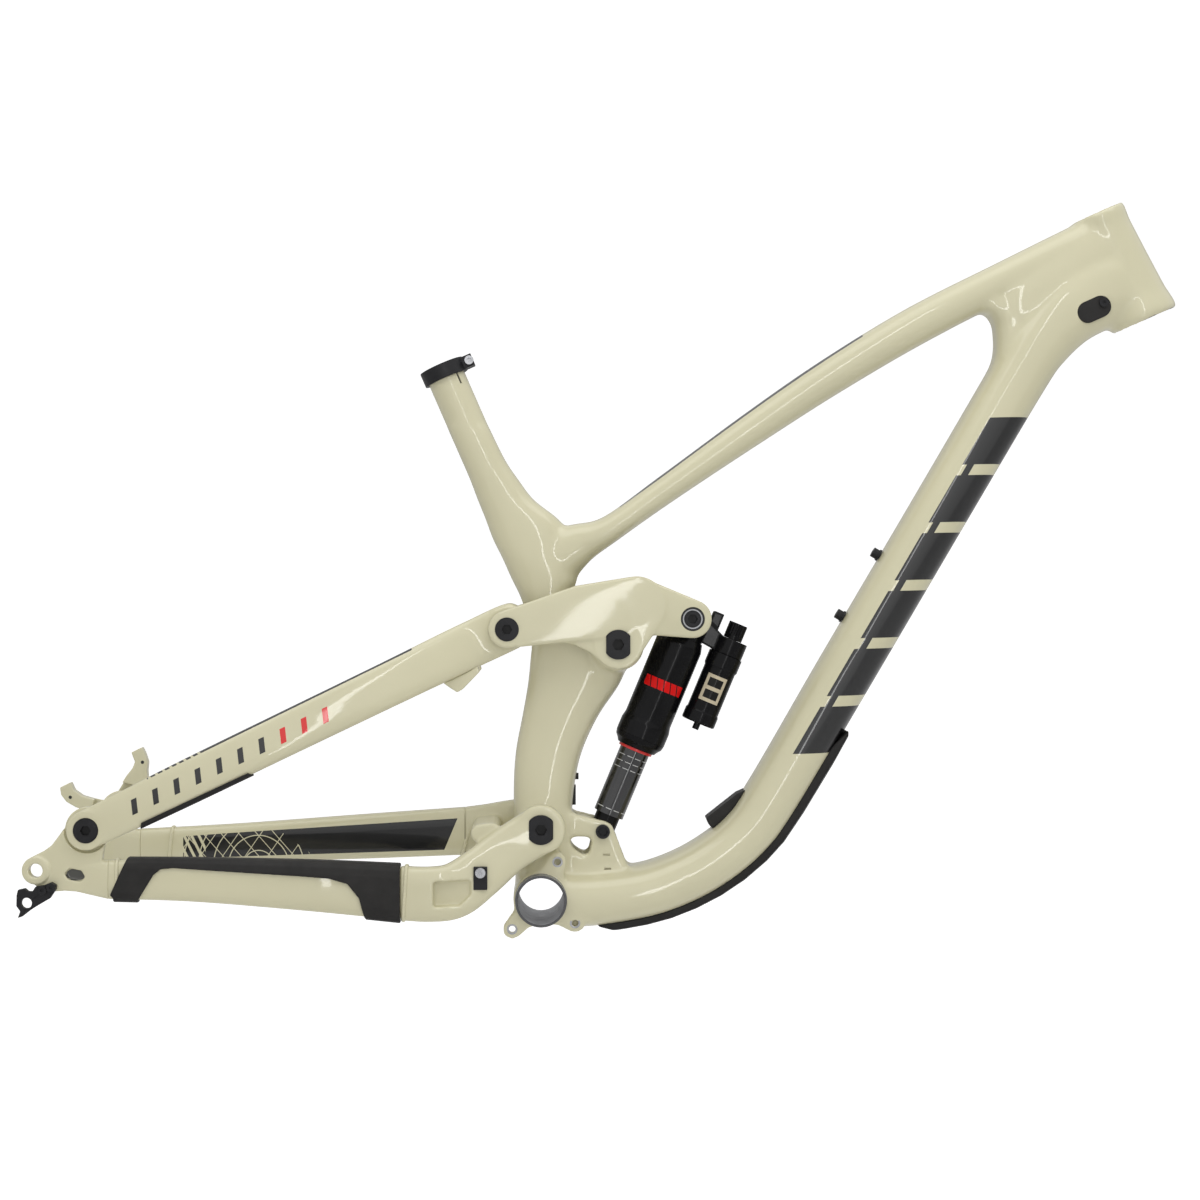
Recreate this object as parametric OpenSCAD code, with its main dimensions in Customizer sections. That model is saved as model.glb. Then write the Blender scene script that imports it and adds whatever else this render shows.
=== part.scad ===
// Full-suspension mountain bicycle frame with its rear air shock.
// Origin at the bottom bracket centre, +X forward, +Z up, drive side on -Y. Millimetres.

/* [Front triangle] */
// Distance forward from the bottom bracket to the top of the head tube
reach = 500; // [475:1:520]
// Height of the head tube's top above the bottom bracket
stack = 613.5; // [596:0.5:631]
// Angle of the steering axis above horizontal
head_angle = 66; // [64.5:0.1:67.5]
// Length of the head tube along the steering axis
head_len = 106.5; // [98:0.5:116]
// Outside diameter at the top of the head tube
head_top_d = 49.5; // [48:0.1:53]
// Outside diameter at the bottom of the head tube
head_low_d = 61.5; // [60:0.1:66]
// Angle of the seat tube above horizontal
seat_angle = 66.3; // [65:0.1:67.5]
// Where the seat tube's axis would cross the height of the bottom bracket
seat_axis_x = 119; // [115:0.5:123]
// Height of the seat tube's top
seat_top_z = 475; // [445:1:490]
// Outside diameter of the seat tube
seat_tube_d = 34.9; // [34.4:0.1:36.5]
// Depth of the down tube
down_depth = 51; // [46:0.5:56]
// Width of the down tube
down_width = 62; // [56:0.5:66]
// Rise of the top tube's arch above a straight line
top_arch = 22; // [17:0.5:24]
// Depth of the top tube at its middle
top_depth = 32; // [28:0.5:36]
// Width of the top tube
top_width = 42; // [38:0.5:44]

/* [Interfaces] */
// Bore of the bottom bracket sleeve
bb_bore = 41; // [40:0.1:42]
// Width over the bottom bracket sleeve
bb_width = 92; // [89:0.5:96]
// Bore for the seatpost
post_d = 31.6; // [30:0.1:31.6]
// How deep the seatpost bore goes
post_depth = 222; // [180:1:230]
// Upper headset bore
headset_top_d = 44; // [42:0.1:45]
// Lower headset bore
headset_low_d = 56; // [52:0.1:56.5]
// Depth of each headset bore
headset_depth = 12; // [9:0.5:15]
// Bolt circle of the chain guide tabs
guide_circle_d = 73; // [71:0.5:75]
// Spacing between the dropouts' inner faces
hub_width = 148; // [142:0.5:152]
// Hole for the rear axle
axle_hole_d = 12.1; // [12:0.05:14]
// Spacing of the brake's two post holes
brake_post_gap = 74.2; // [70:0.1:78]
// Spacing of the bottle cage bolts
bottle_bolt_gap = 64; // [60:0.5:70]

/* [Suspension] */
// Height of the main pivot above the bottom bracket
main_pivot_z = 63; // [61:0.5:66]
// Rocker pivot, forward of the bottom bracket
rocker_pivot_x = 68; // [65:0.5:70]
// Rocker pivot, height
rocker_pivot_z = 226; // [223:0.5:229]
// Length of the rocker from its pivot to the seatstays
rocker_rear_len = 98.9; // [96:0.1:101]
// Length of the rocker from its pivot to the shock
rocker_front_len = 69.7; // [68:0.1:72]
// Chainstay length measured straight back to the axle
chainstay_x = 436; // [428:0.5:444]
// Height of the rear axle above the bottom bracket
axle_z = 32; // [29:0.5:35]
// Pivot bearing outside diameter
bearing_d = 28; // [26:0.1:29]
// Pivot bearing bore
bearing_bore = 15; // [12:0.1:16]
// Pivot bearing width
bearing_w = 7; // [6:0.1:8]

/* [Shock] */
// Outside diameter of the air can
can_d = 43; // [41:0.1:44]
// Outside diameter of the sliding shaft
shaft_d = 27.5; // [26:0.1:28]
// Stroke from top-out to bottom-out
stroke = 60; // [55:0.5:60]
// Outside diameter of the reservoir
reservoir_d = 31; // [28:0.1:32]
// Length of the reservoir
reservoir_len = 66; // [60:0.5:70]
// Distance between the shock's axis and the reservoir's axis
reservoir_gap = 42.5; // [41.5:0.1:45]

/* [Guards] */
// Thickness of the down tube guard
down_guard_t = 6.5; // [5:0.5:8]
// Thickness of the chainstay guard
stay_guard_t = 2.5; // [1.5:0.1:3.5]

/* [Hidden] */

// Clearances
gap = 0.3;        // between faces that pass each other
fit = 0.05;       // radial play of a shaft in its bearing
round_fn = 32;    // steps of a rounded shape that ends up faceted
smooth_fn = 64;   // steps of a round pin or bore
skin_fn = 40;     // steps of a round boss on a swept skin
skin_sides = 18;  // sides of a swept skin

// Colours of the finishes
paint = [0.82, 0.81, 0.72];
black = [0.10, 0.10, 0.11];
rubber = [0.20, 0.20, 0.20];
steel = [0.60, 0.61, 0.63];
alloy = [0.45, 0.46, 0.48];
red = [0.80, 0.10, 0.10];

// ---- Points of the side view, as [x, z] ----
bb = [0, 0];
main_pivot = [0, main_pivot_z];
axle = [-chainstay_x, axle_z];
rocker_pivot = [rocker_pivot_x, rocker_pivot_z];
rocker_rear_angle = 172.2;
rocker_front_angle = 18.8;
upper_stay_pivot = rocker_pivot + rocker_rear_len * heading_of(rocker_rear_angle);
trunnion = rocker_pivot + rocker_front_len * heading_of(rocker_front_angle);
lower_stay_pivot = axle + [44, 35];
shock_eye = [55, 59];
head_axis = [-cos(head_angle), sin(head_angle)];
head_top = [reach, stack];
head_low = head_top - head_len * head_axis;
seat_top = on_seat_axis(seat_top_z);
pillar_top_z = 420;                     // the round seat tube starts just under this height
seat_tube_len = (seat_top_z - pillar_top_z + 5.43) / sin(seat_angle);

// ---- Depths across the frame, measured out from the middle plane ----
main_boss_y = 28;                       // frame at the main pivot
rocker_boss_y = 30;                     // frame at the rocker pivot
yoke_in = main_boss_y + gap;            // inner face of the yoke's arms
yoke_out = yoke_in + 17.7;
rocker_in = rocker_boss_y + gap;        // inner face of the rocker's arms
rocker_out = rocker_in + 13.7;
stay_end_in = 26;                       // seatstay ends at the rocker
stay_end_out = 38;
stay_tip_out = 34;                      // the stay narrows past its pivot
rocker_tail_in = stay_end_out + gap;
rocker_tail_out = rocker_tail_in + 10.7;
trunnion_y = 27;                        // half width of the shock's trunnion
rocker_nose_in = trunnion_y + gap;
rocker_nose_out = rocker_nose_in + 10.7;
dropout_in = hub_width / 2;
dropout_out = dropout_in + 9;
dropout_recess_y = dropout_in + 5.7;    // where the seatstay's rear end sits over the dropout
stay_lobe_in = dropout_recess_y + 2 * gap;
stay_lobe_out = stay_lobe_in + 7.7;
cheek_in = 11.3;                        // ears that hold the shock's lower eye
cheek_out = 20;

// ---- Lobes around the pivots ----
main_lobe_r = 21.5;
main_boss_r = 21;
rocker_lobe_r = 21.5;
rocker_boss_r = 24;
tail_lobe_r = 16.5;
stay_end_r = 19.5;
nose_lobe_r = 17;
rear_lobe_r = 17.2;
crown = rocker_pivot + [16.5, 34.3];      // high point of the rocker's side view
crown_r = 26;

// ---- Pivot hardware ----
pivot_axle_r = bearing_bore / 2 - fit;
cap_pocket = 3;                         // how deep the pill-shaped caps sit
cap_proud = 1.6;
stub_r = 6;
stub_cap_r = 10.5;
stay_bearing_r = 11;
stay_bearing_w = 5.1;
hex_af = 8;                             // across the flats of the hex sockets
hex_depth = 4;
trunnion_bearing_r = 10.7;
trunnion_bolt_r = 6.4;
eye_bolt_r = 4;

// ---- Small bolts ----
small_bolt_r = 2.5;
small_head_r = 4.5;

// ---- Bottom bracket ----
bb_sleeve_r = bb_bore / 2 + 2.3;
bb_housing_r = bb_sleeve_r + 2;
bb_housing_y = 34;
tab_t = 6;                              // thickness of the chain guide tabs
tab_r = 9.5;
tab_hole_r = 3;
tab_angles = [66.4, 225.7, 325.6];

// ---- Shock, measured from the trunnion along its axis ----
shock_len = norm(shock_eye - trunnion);
shock_tilt = atan2(shock_eye[0] - trunnion[0], shock_eye[1] - trunnion[1]);
can_start = 18;
can_end = 104;
seal_end = 127;
can_bore_r = can_d / 2 - 2.5;
bulge_r = can_d / 2 + 1.3;              // wider lower end of the can
shaft_end = shock_len - 15;             // lower end of the sliding shaft
piston_top = can_start + 9.5 + stroke;  // top of the air piston at rest
piston_h = 9;
shaft_bore_r = shaft_d / 2 - 2;
rod_r = 5;
eye_r = 10;
eye_half_w = cheek_in - gap;

// ---- Stations of the swept tubes: [x, z, y, depth, width] ----
head_mid = head_low + 0.35 * head_len * head_axis;
head_high = head_low + 0.74 * head_len * head_axis;
down_low = [209, 91];                   // lower end of the down tube's straight
down_high = head_mid + [-100, -86];     // its upper end
down_stations = [
  [0, 0, 0, down_depth - 3, down_width + 12],
  [34, -2.5, 0, down_depth - 1, down_width + 12],
  [71, 1, 0, down_depth - 2.5, down_width + 12],
  [107.5, 9, 0, down_depth - 3, down_width + 10],
  [146, 26.5, 0, down_depth - 3, down_width + 7],
  [181.5, 53.5, 0, down_depth - 3, down_width + 4],
  on_down(0, down_width + 2, -1.5),
  on_down(0.3, down_width),
  on_down(0.7, down_width - 2),
  on_down(1, down_width - 4, 1),
  along_head(head_mid, [-80, -54], down_depth + 5, down_width - 4),
  along_head(head_mid, [-56, -27], down_depth + 12, down_width - 5),
  along_head(head_mid, [-28, -9], down_depth + 17, down_width - 5),
  along_head(head_mid, [-8, -2], down_depth + 15, down_width - 6)
];
seat_node = [33, 315];                  // where the top tube meets the seat tube
top_low = seat_node + [29, 14];
top_high = head_high + [-6, 0.7];
top_stations = [
  [seat_node[0] - 27, seat_node[1] - 16, 0, top_depth + 28, top_width - 4],
  [seat_node[0], seat_node[1], 0, top_depth + 7, top_width - 3],
  along_top(0, top_depth - 7),
  along_top(0.12, top_depth - 6.5),
  along_top(0.30, top_depth - 1.5, -0.8),
  along_top(0.45, top_depth + 1.5, -0.5),
  along_top(0.62, top_depth + 3.2, 0.5),
  along_top(0.80, top_depth + 2.8, 1.4),
  along_top(0.93, top_depth + 8.5, 1.7),
  along_top(1, top_depth + 13.5, 1)
];
gusset_stations = [
  along_head(head_mid, [-116, -42], 26, top_width - 6),
  along_head(head_mid, [-110.5, -41], 74, top_width + 2),
  along_head(head_mid, [-86, -26], 90, top_width + 5),
  along_head(head_mid, [-40, 4], 90, top_width + 7),
  along_head(head_mid, [-8, 22], 82, top_width + 6)
];
pillar_stations = [
  [0, 2, 0, 47, 66],
  [0, 30, 0, 46, 58],
  [1.4, main_pivot_z, 0, 51.2, 2 * main_boss_y - 2],
  [2.8, 99, 0, 54.9, 48],
  [7.3, 130, 0, 59.9, 44],
  [17.8, 162, 0, 68.9, 43],
  [rocker_pivot_x - 38.4, rocker_pivot_z - 36, 0, 82.9, 43],
  [rocker_pivot_x - 35, rocker_pivot_z - 17, 0, 86, 43],
  [rocker_pivot_x - 40, rocker_pivot_z + 8, 0, 73, 43],
  [rocker_pivot_x - 62, rocker_pivot_z + 38, 0, 46, 42],
  [seat_node[0] - 30, seat_node[1] - 30, 0, 60, 41],
  [seat_node[0] - 38, seat_node[1] - 12, 0, 60, 41],
  [seat_node[0] - 42, seat_node[1] + 5, 0, 69, 40],
  [seat_node[0] - 49.5, seat_node[1] + 22, 0, 66.5, 39],
  on_seat(355, 5.3, 51, 37),
  on_seat(373, 2.9, 44, 36),
  on_seat(391, 0.8, 39.6, 35),
  on_seat(pillar_top_z, 0, seat_tube_d / sin(seat_angle), seat_tube_d)
];

tube_from_axle = 63;
stay_tube_rear_x = axle[0] + tube_from_axle;
right_joint_x = -123;
left_joint_x = -70;
right_stay_stations = [
  [stay_tube_rear_x, 24, -(dropout_in + 3.5), 34, 15],
  [-300, 22.3, -(dropout_in + 1), 36, 18],
  [-200, 16, -66, 42.5, 20],
  [right_joint_x, 8.7, -53, 47.5, 20]
];
left_stay_stations = [
  [stay_tube_rear_x, 34, dropout_in + 3.5, 34, 15],
  [-280, 38.6, dropout_in - 1, 36, 18],
  [-170, 45.5, 60, 41, 19],
  [left_joint_x, 52.3, 47.5, 44, 18.5]
];
right_arm_stations = [
  [right_joint_x, 8.7, -53, 47.5, 20],
  [-98, 7.6, -53, 48.3, 20],
  [-76, 10.5, -51, 48.5, 20],
  [-54.5, 24.5, -46.5, 45, 19],
  [-29.5, main_pivot_z - 18.5, -40.5, 42, 17.7],
  [0, main_pivot_z, -(yoke_in + yoke_out) / 2, 2 * main_lobe_r, yoke_out - yoke_in]
];
left_arm_stations = [
  [left_joint_x, 52.3, 47.5, 44, 18.5],
  [-50, 55.2, 43.5, 44, 18],
  [-24, main_pivot_z - 3, 38.5, 44, 17.7],
  [0, main_pivot_z, (yoke_in + yoke_out) / 2, 2 * main_lobe_r, yoke_out - yoke_in]
];
stay_dir = (upper_stay_pivot - lower_stay_pivot) / norm(upper_stay_pivot - lower_stay_pivot);
stay_len = norm(upper_stay_pivot - lower_stay_pivot);
seatstay_stations = [
  on_stay(0, (stay_lobe_in + stay_lobe_out) / 2, 2 * rear_lobe_r, stay_lobe_out - stay_lobe_in),
  on_stay(0.055, (stay_lobe_in + stay_lobe_out) / 2, 34.8, stay_lobe_out - stay_lobe_in),
  on_stay(0.11, 82.3, 35.6, 10),
  on_stay(0.24, 77, 37.5, 15, 0.5),
  on_stay(0.48, 64.5, 38.5, 17, 1),
  on_stay(0.72, 49, 39.6, 16, 1.3),
  on_stay(0.86, 37.5, 41, 14, 1.6),
  on_stay(0.93, (stay_end_in + stay_end_out) / 2, 41.5, stay_end_out - stay_end_in, 1.4),
  on_stay(1, (stay_end_in + stay_end_out) / 2, 41.4, stay_end_out - stay_end_in, 1.2),
  on_stay(1.03, (stay_end_in + stay_end_out) / 2, 37, stay_end_out - stay_end_in, 0.4),
  on_stay(1.045, (stay_end_in + stay_tip_out) / 2, 27, stay_tip_out - stay_end_in, 0.4)
];

// ---- Functions ----
function heading_of(a) = [cos(a), sin(a)];
function on_seat_axis(z) = [seat_axis_x - z / tan(seat_angle), z];
function on_seat(z, forward, depth, width) =
  let (p = on_seat_axis(z)) [p[0] + forward, z, 0, depth, width];
function on_stay(t, y, depth, width, up = 0) =
  let (p = lower_stay_pivot + t * stay_len * stay_dir) [p[0], p[1] + up, y, depth, width];
// A station that share of the way up the straight of the down tube
function on_down(t, width, deeper = 0) =
  let (p = down_low + t * (down_high - down_low)) [p[0], p[1], 0, down_depth + deeper, width];
function along_head(from, shift, depth, width) =
  [from[0] + shift[0], from[1] + shift[1], 0, depth, width];
// A station that share of the way up the arched top tube
function along_top(t, depth, up = 0) =
  let (p = top_low + t * (top_high - top_low))
  [p[0], p[1] + top_arch * sin(180 * pow(t, 1.1)) + up, 0, depth, top_width + 2 * t];
// Smooth curve through four neighbouring stations
function curve_at(p, i, t) =
  let (a = p[max(i - 1, 0)], b = p[i], c = p[i + 1], d = p[min(i + 2, len(p) - 1)])
  0.5 * (2 * b + (c - a) * t + (2 * a - 5 * b + 4 * c - d) * t * t
         + (3 * b - a - 3 * c + d) * t * t * t);
function smooth_path(p, steps) =
  [for (i = [0:len(p) - 2]) for (s = [0:steps - 1]) curve_at(p, i, s / steps), p[len(p) - 1]];
function turn_of(q, i) =
  let (a = q[max(i - 1, 0)], b = q[min(i + 1, len(q) - 1)]) atan2(b[1] - a[1], b[0] - a[0]);
function bulge(c, power) = sign(c) * pow(abs(c), 2 / power);
// Rounded-box section around station c whose plane is square to the heading
function ring(c, turn, grow, power, sides) =
  [for (k = [0:sides - 1])
    let (a = 360 * k / sides, across = (c[4] / 2 + grow) * bulge(cos(a), power),
         up = (c[3] / 2 + grow) * bulge(sin(a), power))
    [c[0] - sin(turn) * up, c[2] + across, c[1] + cos(turn) * up]];

// ---- Shared shapes ----
// Swept tube through the stations; a fixed turn keeps all its rings parallel
module sweep(stations, steps = 2, power = 2.6, grow = 0, first = undef, turn = undef) {
  sides = skin_sides;
  path = smooth_path(stations, steps);
  n = len(path);
  rings = [for (i = [0:n - 1])
    ring(path[i], turn != undef ? turn : i == 0 && first != undef ? first : turn_of(path, i),
         grow, power, sides)];
  polyhedron(
    points = [for (r = rings) each r],
    faces = concat(
      [[for (k = [0:sides - 1]) k]],
      [for (i = [0:n - 2]) for (k = [0:sides - 1]) each
        let (j = (k + 1) % sides, a = i * sides, b = a + sides)
        [[a + k, b + k, a + j], [b + k, b + j, a + j]]],
      [[for (k = [sides - 1:-1:0]) (n - 1) * sides + k]]));
}
// Round bar along Y
module bar(p, r, y0, y1, fn = smooth_fn) {
  translate([p[0], y1, p[1]]) rotate([90, 0, 0]) cylinder(r = r, h = y1 - y0, $fn = fn);
}
// Side-view outline made solid between two depths
module plate(y0, y1) {
  translate([0, y1, 0]) rotate([90, 0, 0]) linear_extrude(y1 - y0) children();
}
module on_both_sides() {
  children();
  mirror([0, 1, 0]) children();
}
// Moves to the drive side (-1) or the far side (+1)
module on_side(side) {
  if (side < 0) mirror([0, 1, 0]) children();
  else children();
}
// Bar with a hexagonal socket in its outer end
module socket_bar(p, r, y0, y1) {
  difference() {
    bar(p, r, y0, y1);
    bar(p, hex_af / 2 / cos(30), y1 - hex_depth, y1 + 1, 6);
  }
}
module ring_bar(p, r_out, r_in, y0, y1) {
  difference() {
    bar(p, r_out, y0, y1);
    bar(p, r_in, y0 - 1, y1 + 1);
  }
}
// Round cap with two flats
module pill(p, r, half_flat, y0, y1) {
  intersection() {
    bar(p, r, y0, y1);
    translate([p[0] - half_flat, y0, p[1] - r]) cube([2 * half_flat, y1 - y0, 2 * r]);
  }
}
module at_shock() {
  translate([trunnion[0], 0, trunnion[1]]) rotate([0, shock_tilt, 0]) children();
}
module tube(r_out, r_in, z0, z1) {
  translate([0, 0, z0]) difference() {
    cylinder(r = r_out, h = z1 - z0, $fn = smooth_fn);
    translate([0, 0, -1]) cylinder(r = r_in, h = z1 - z0 + 2, $fn = smooth_fn);
  }
}
module rod(r, z0, z1) {
  translate([0, 0, z0]) cylinder(r = r, h = z1 - z0, $fn = smooth_fn);
}
module at_head() {
  translate([head_low[0], 0, head_low[1]]) rotate([0, head_angle - 90, 0]) children();
}
module at_seat_top() {
  translate([seat_top[0], 0, seat_top[1]]) rotate([0, seat_angle - 90, 0]) children();
}

// ---- Front triangle ----
module head_tube_skin() {
  waist = (head_top_d + head_low_d) / 4 - 1.6;
  at_head() rotate_extrude($fn = skin_fn) polygon([
    [0, 0], [head_low_d / 2, 0], [head_low_d / 2, 7], [head_low_d / 2 - 2.5, 22],
    [waist, head_len / 2], [head_top_d / 2 - 0.8, head_len - 16], [head_top_d / 2, head_len - 6],
    [head_top_d / 2, head_len], [0, head_len]]);
}
module seat_tube_skin() {
  at_seat_top() mirror([0, 0, 1]) cylinder(d = seat_tube_d, h = seat_tube_len, $fn = skin_fn);
}
module shock_ears() {
  top = shock_eye + [2, 9.5];
  on_both_sides() difference() {
    union() {
      plate(cheek_in, cheek_out) polygon([
        [10, main_pivot_z - 36], [10, main_pivot_z + 14], [26, main_pivot_z + 13], top,
        shock_eye + [9, 5.5], [80, 22], [70, 8], [20, 8]]);
      bar(shock_eye, 9.7, cheek_in, cheek_out, skin_fn);
    }
    plate(cheek_in - 1, cheek_out + 1) polygon([
      shock_eye + [-29.5, -5.5], shock_eye + [-10, -5.5], shock_eye + [-12, -20],
      shock_eye + [-17, -21], shock_eye + [-27, -14]]);
  }
}
module guide_tabs() {
  plate(-bb_housing_y, -bb_housing_y + tab_t) for (a = tab_angles) hull() {
    translate(guide_circle_d / 2 * heading_of(a)) circle(tab_r, $fn = round_fn);
    translate(8 * heading_of(a)) circle(12, $fn = round_fn);
  }
}
// One continuous skin with its clearances, before the round bores are cut
module front_skin() {
  resize([0, 0, 0]) difference() {
    union() {
      sweep(down_stations, power = 2.7);
      sweep(top_stations, power = 2.6);
      sweep(gusset_stations, power = 3);
      sweep(pillar_stations, steps = 1, power = 2.7, turn = 90);
      head_tube_skin();
      seat_tube_skin();
      bar(main_pivot, main_boss_r, -main_boss_y, main_boss_y, skin_fn);
      bar(rocker_pivot, rocker_boss_r, -rocker_boss_y, rocker_boss_y, skin_fn);
      bar(bb, bb_housing_r, -bb_housing_y, bb_housing_y, skin_fn);
      guide_tabs();
      shock_ears();
    }
    shock_clearance();
    seat_tube_plugs();
    on_both_sides() plate(port_seat, port_seat + 2 * port_t) port_shape();
  }
}
module headset_bores() {
  at_head() {
    translate([0, 0, -1]) cylinder(d = headset_low_d, h = headset_depth + 1, $fn = smooth_fn);
    translate([0, 0, head_len - headset_depth])
      cylinder(d = headset_top_d, h = headset_depth + 1, $fn = smooth_fn);
    translate([0, 0, headset_depth - 1]) cylinder(
      d1 = headset_low_d - 8, d2 = headset_top_d - 7, h = head_len - 2 * headset_depth + 2,
      $fn = smooth_fn);
  }
}
module post_bore() {
  at_seat_top() {
    translate([0, 0, -post_depth]) cylinder(d = post_d, h = post_depth + 1, $fn = smooth_fn);
    rotate(-slot_turn) translate([0, -clamp_slot / 2, -22]) cube([seat_tube_d, clamp_slot, 23]);
  }
}
module pivot_bores(p, boss_y) {
  bar(p, bearing_d / 2, boss_y - bearing_w, boss_y + 1);
  bar(p, bearing_d / 2, -boss_y - 1, -boss_y + bearing_w);
  bar(p, bearing_bore / 2 + 2, -boss_y, boss_y);
}
module front_triangle() {
  color(paint) difference() {
    front_skin();
    headset_bores();
    post_bore();
    pivot_bores(main_pivot, main_boss_y);
    pivot_bores(rocker_pivot, rocker_boss_y);
    bar(bb, bb_sleeve_r, -bb_width, bb_width);
    bar(shock_eye, eye_bolt_r, -cheek_out - 1, cheek_out + 1);
    for (a = tab_angles)
      bar(guide_circle_d / 2 * heading_of(a), tab_hole_r, -bb_housing_y - 1, -bb_housing_y + tab_t + 1);
    bottle_places() rod(small_bolt_r, -bottle_thread, 1);
    port_places() rod(small_bolt_r - 0.5, -port_screw_len, 1);
  }
}
// Room between the ears for the shock's lower eye
module shock_clearance() {
  plate(-cheek_in - 0.01, cheek_in + 0.01) hull() {
    translate(shock_eye) circle(eye_r + 3, $fn = round_fn);
    translate(shock_eye + [14, 34]) circle(eye_r + 6, $fn = round_fn);
  }
}

// ---- Fittings of the front triangle ----
clamp_h = 13;
clamp_t = 3;
clamp_slot = 2;
slot_turn = 53;                         // the tube's slot faces forward and to the drive side
clamp_lug = 9;
module bb_shell() {
  color(alloy) ring_bar(bb, bb_sleeve_r, bb_bore / 2, -bb_width / 2, bb_width / 2);
}
module seat_clamp() {
  lug_x = seat_tube_d / 2 + clamp_t + clamp_lug / 2;
  color(black) at_seat_top() translate([0, 0, -clamp_h + 1]) difference() {
    union() {
      cylinder(r = seat_tube_d / 2 + clamp_t, h = clamp_h, $fn = smooth_fn);
      translate([0, -9, 1]) cube([lug_x + clamp_lug / 2 - 1, 18, clamp_h - 2]);
    }
    translate([0, 0, -1]) cylinder(r = seat_tube_d / 2, h = clamp_h, $fn = smooth_fn);
    translate([0, 0, clamp_h - 2]) cylinder(r = post_d / 2 + 0.6, h = 3, $fn = smooth_fn);
    translate([0, -clamp_slot / 2, -1]) cube([2 * lug_x, clamp_slot, clamp_h + 2]);
    translate([lug_x, 10, clamp_h / 2]) rotate([90, 0, 0])
      cylinder(r = small_bolt_r, h = 20, $fn = smooth_fn);
  }
}
module seat_clamp_bolt() {
  lug_x = seat_tube_d / 2 + clamp_t + clamp_lug / 2;
  color(steel) at_seat_top() translate([lug_x, 0, -clamp_h / 2 + 1]) rotate([90, 0, 0])
    difference() {
      union() {
        translate([0, 0, -9]) cylinder(r = small_bolt_r, h = 18, $fn = smooth_fn);
        translate([0, 0, 9]) cylinder(r = small_head_r - 0.5, h = 3.5, $fn = smooth_fn);
      }
      translate([0, 0, 10]) cylinder(r = 2.2, h = 4, $fn = 6);
    }
}
module pivot_bearings(p, boss_y) {
  on_both_sides() ring_bar(p, bearing_d / 2, bearing_bore / 2, boss_y - bearing_w, boss_y);
}
module main_pivot_bearings() {
  color(steel) pivot_bearings(main_pivot, main_boss_y);
}
module rocker_pivot_bearings() {
  color(steel) pivot_bearings(rocker_pivot, rocker_boss_y);
}
module shock_lower_bolt() {
  color(black) {
    mirror([0, 1, 0]) socket_bar(shock_eye, 6.3, cheek_out, cheek_out + 5);
    bar(shock_eye, eye_bolt_r, -cheek_out, cheek_out);
    bar(shock_eye, 6.3, cheek_out, cheek_out + 4, 6);
  }
}
bottle_thread = 12;
bottle_share = 0.464;                   // where the pair of bolts sits up the down tube
module bottle_places() {
  dir = (down_high - down_low) / norm(down_high - down_low);
  inner = [-dir[1], dir[0]];
  mid = down_low + bottle_share * (down_high - down_low) + bottle_seat * inner;
  for (s = [-0.5, 0.5]) {
    p = mid + s * bottle_bolt_gap * dir;
    translate([p[0], 0, p[1]]) rotate([0, atan2(inner[0], inner[1]), 0]) children();
  }
}
bottle_seat = down_depth / 2 + 0.2;
module bottle_cage_bolts() {
  color(black) bottle_places() {
    rod(small_bolt_r, -bottle_thread, 4);
    rod(small_head_r + 1, 0.4, 2);
    difference() {
      rod(small_head_r, 2, 7.5);
      translate([0, 0, 5]) cylinder(r = 2, h = 3, $fn = 6);
    }
  }
}
module down_tube_guard() {
  color(rubber) difference() {
    intersection() {
      sweep(down_stations, power = 2.7, grow = down_guard_t);
      plate(-down_width * 0.36, down_width * 0.36) polygon([
        [50, -21.5], [60, -18.6], [81, -14.6], [112, -7], [150, 10.5], [186, 41], [214, 77],
        [236, 112], [274, 149], [274, 144], [262, 119], [252, 60], [130, -50], [90, -34],
        [70, -30.5], [52, -26], [49.5, -23.5]]);
    }
    sweep(down_stations, power = 2.7);
  }
}
port_tilt = 24;
port_screw_len = 7;
port_t = 4.5;
port_len = 31;
port_wide = 19;
port_centre = head_mid + [-37, -27];
module port_places() {
  for (side = [-1, 1]) translate([port_centre[0], side * port_seat, port_centre[1]])
    rotate([-90 * side, 0, 0]) translate([8, -side * 6, 0]) children();
}
port_seat = 24;                         // depth of the floor under each cover
module port_shape() {
  hull() for (s = [-1, 1])
    translate(port_centre + s * (port_len - port_wide) / 2 * heading_of(port_tilt))
      circle(port_wide / 2, $fn = round_fn);
}
module head_port_covers() {
  color(rubber) difference() {
    on_both_sides() plate(port_seat, port_seat + port_t) port_shape();
    port_places() rod(small_bolt_r - 0.5, -1, port_t + 1);
  }
}
module head_port_screws() {
  color(black) port_places() {
    rod(small_bolt_r - 0.5, -port_screw_len, port_t);
    difference() {
      rod(small_head_r - 0.5, port_t, port_t + 2);
      translate([0, 0, port_t + 1]) cylinder(r = 1.6, h = 2, $fn = 6);
    }
  }
}
module down_tube_port_cover() {
  color(rubber) difference() {
    plate(-11, 11) polygon([
      [148, 70], [151, 63], [160, 56], [200, 92], [184, 95.5], [176, 92]]);
    sweep(down_stations, power = 2.7);
  }
}
grommet_r = 3;
strip_r = 2.2;
strip_low = [29.3, 83];                 // lower end of the long grommet, on the tube's front face
strip_len = 14;
// Round plug over a long one, both let into the front face of the seat tube
module seat_tube_plugs() {
  translate([31.8, 0, 106.7]) rotate([0, 90, 0]) rod(grommet_r, -9, 2);
  for (z = [0, strip_len])
    translate([strip_low[0], 0, strip_low[1] + z]) rotate([0, 90, 0]) rod(strip_r, -9, 2);
  translate([strip_low[0] - 9, -strip_r, strip_low[1]]) cube([11, 2 * strip_r, strip_len]);
}
module seat_tube_grommets() {
  color(black) seat_tube_plugs();
}

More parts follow.
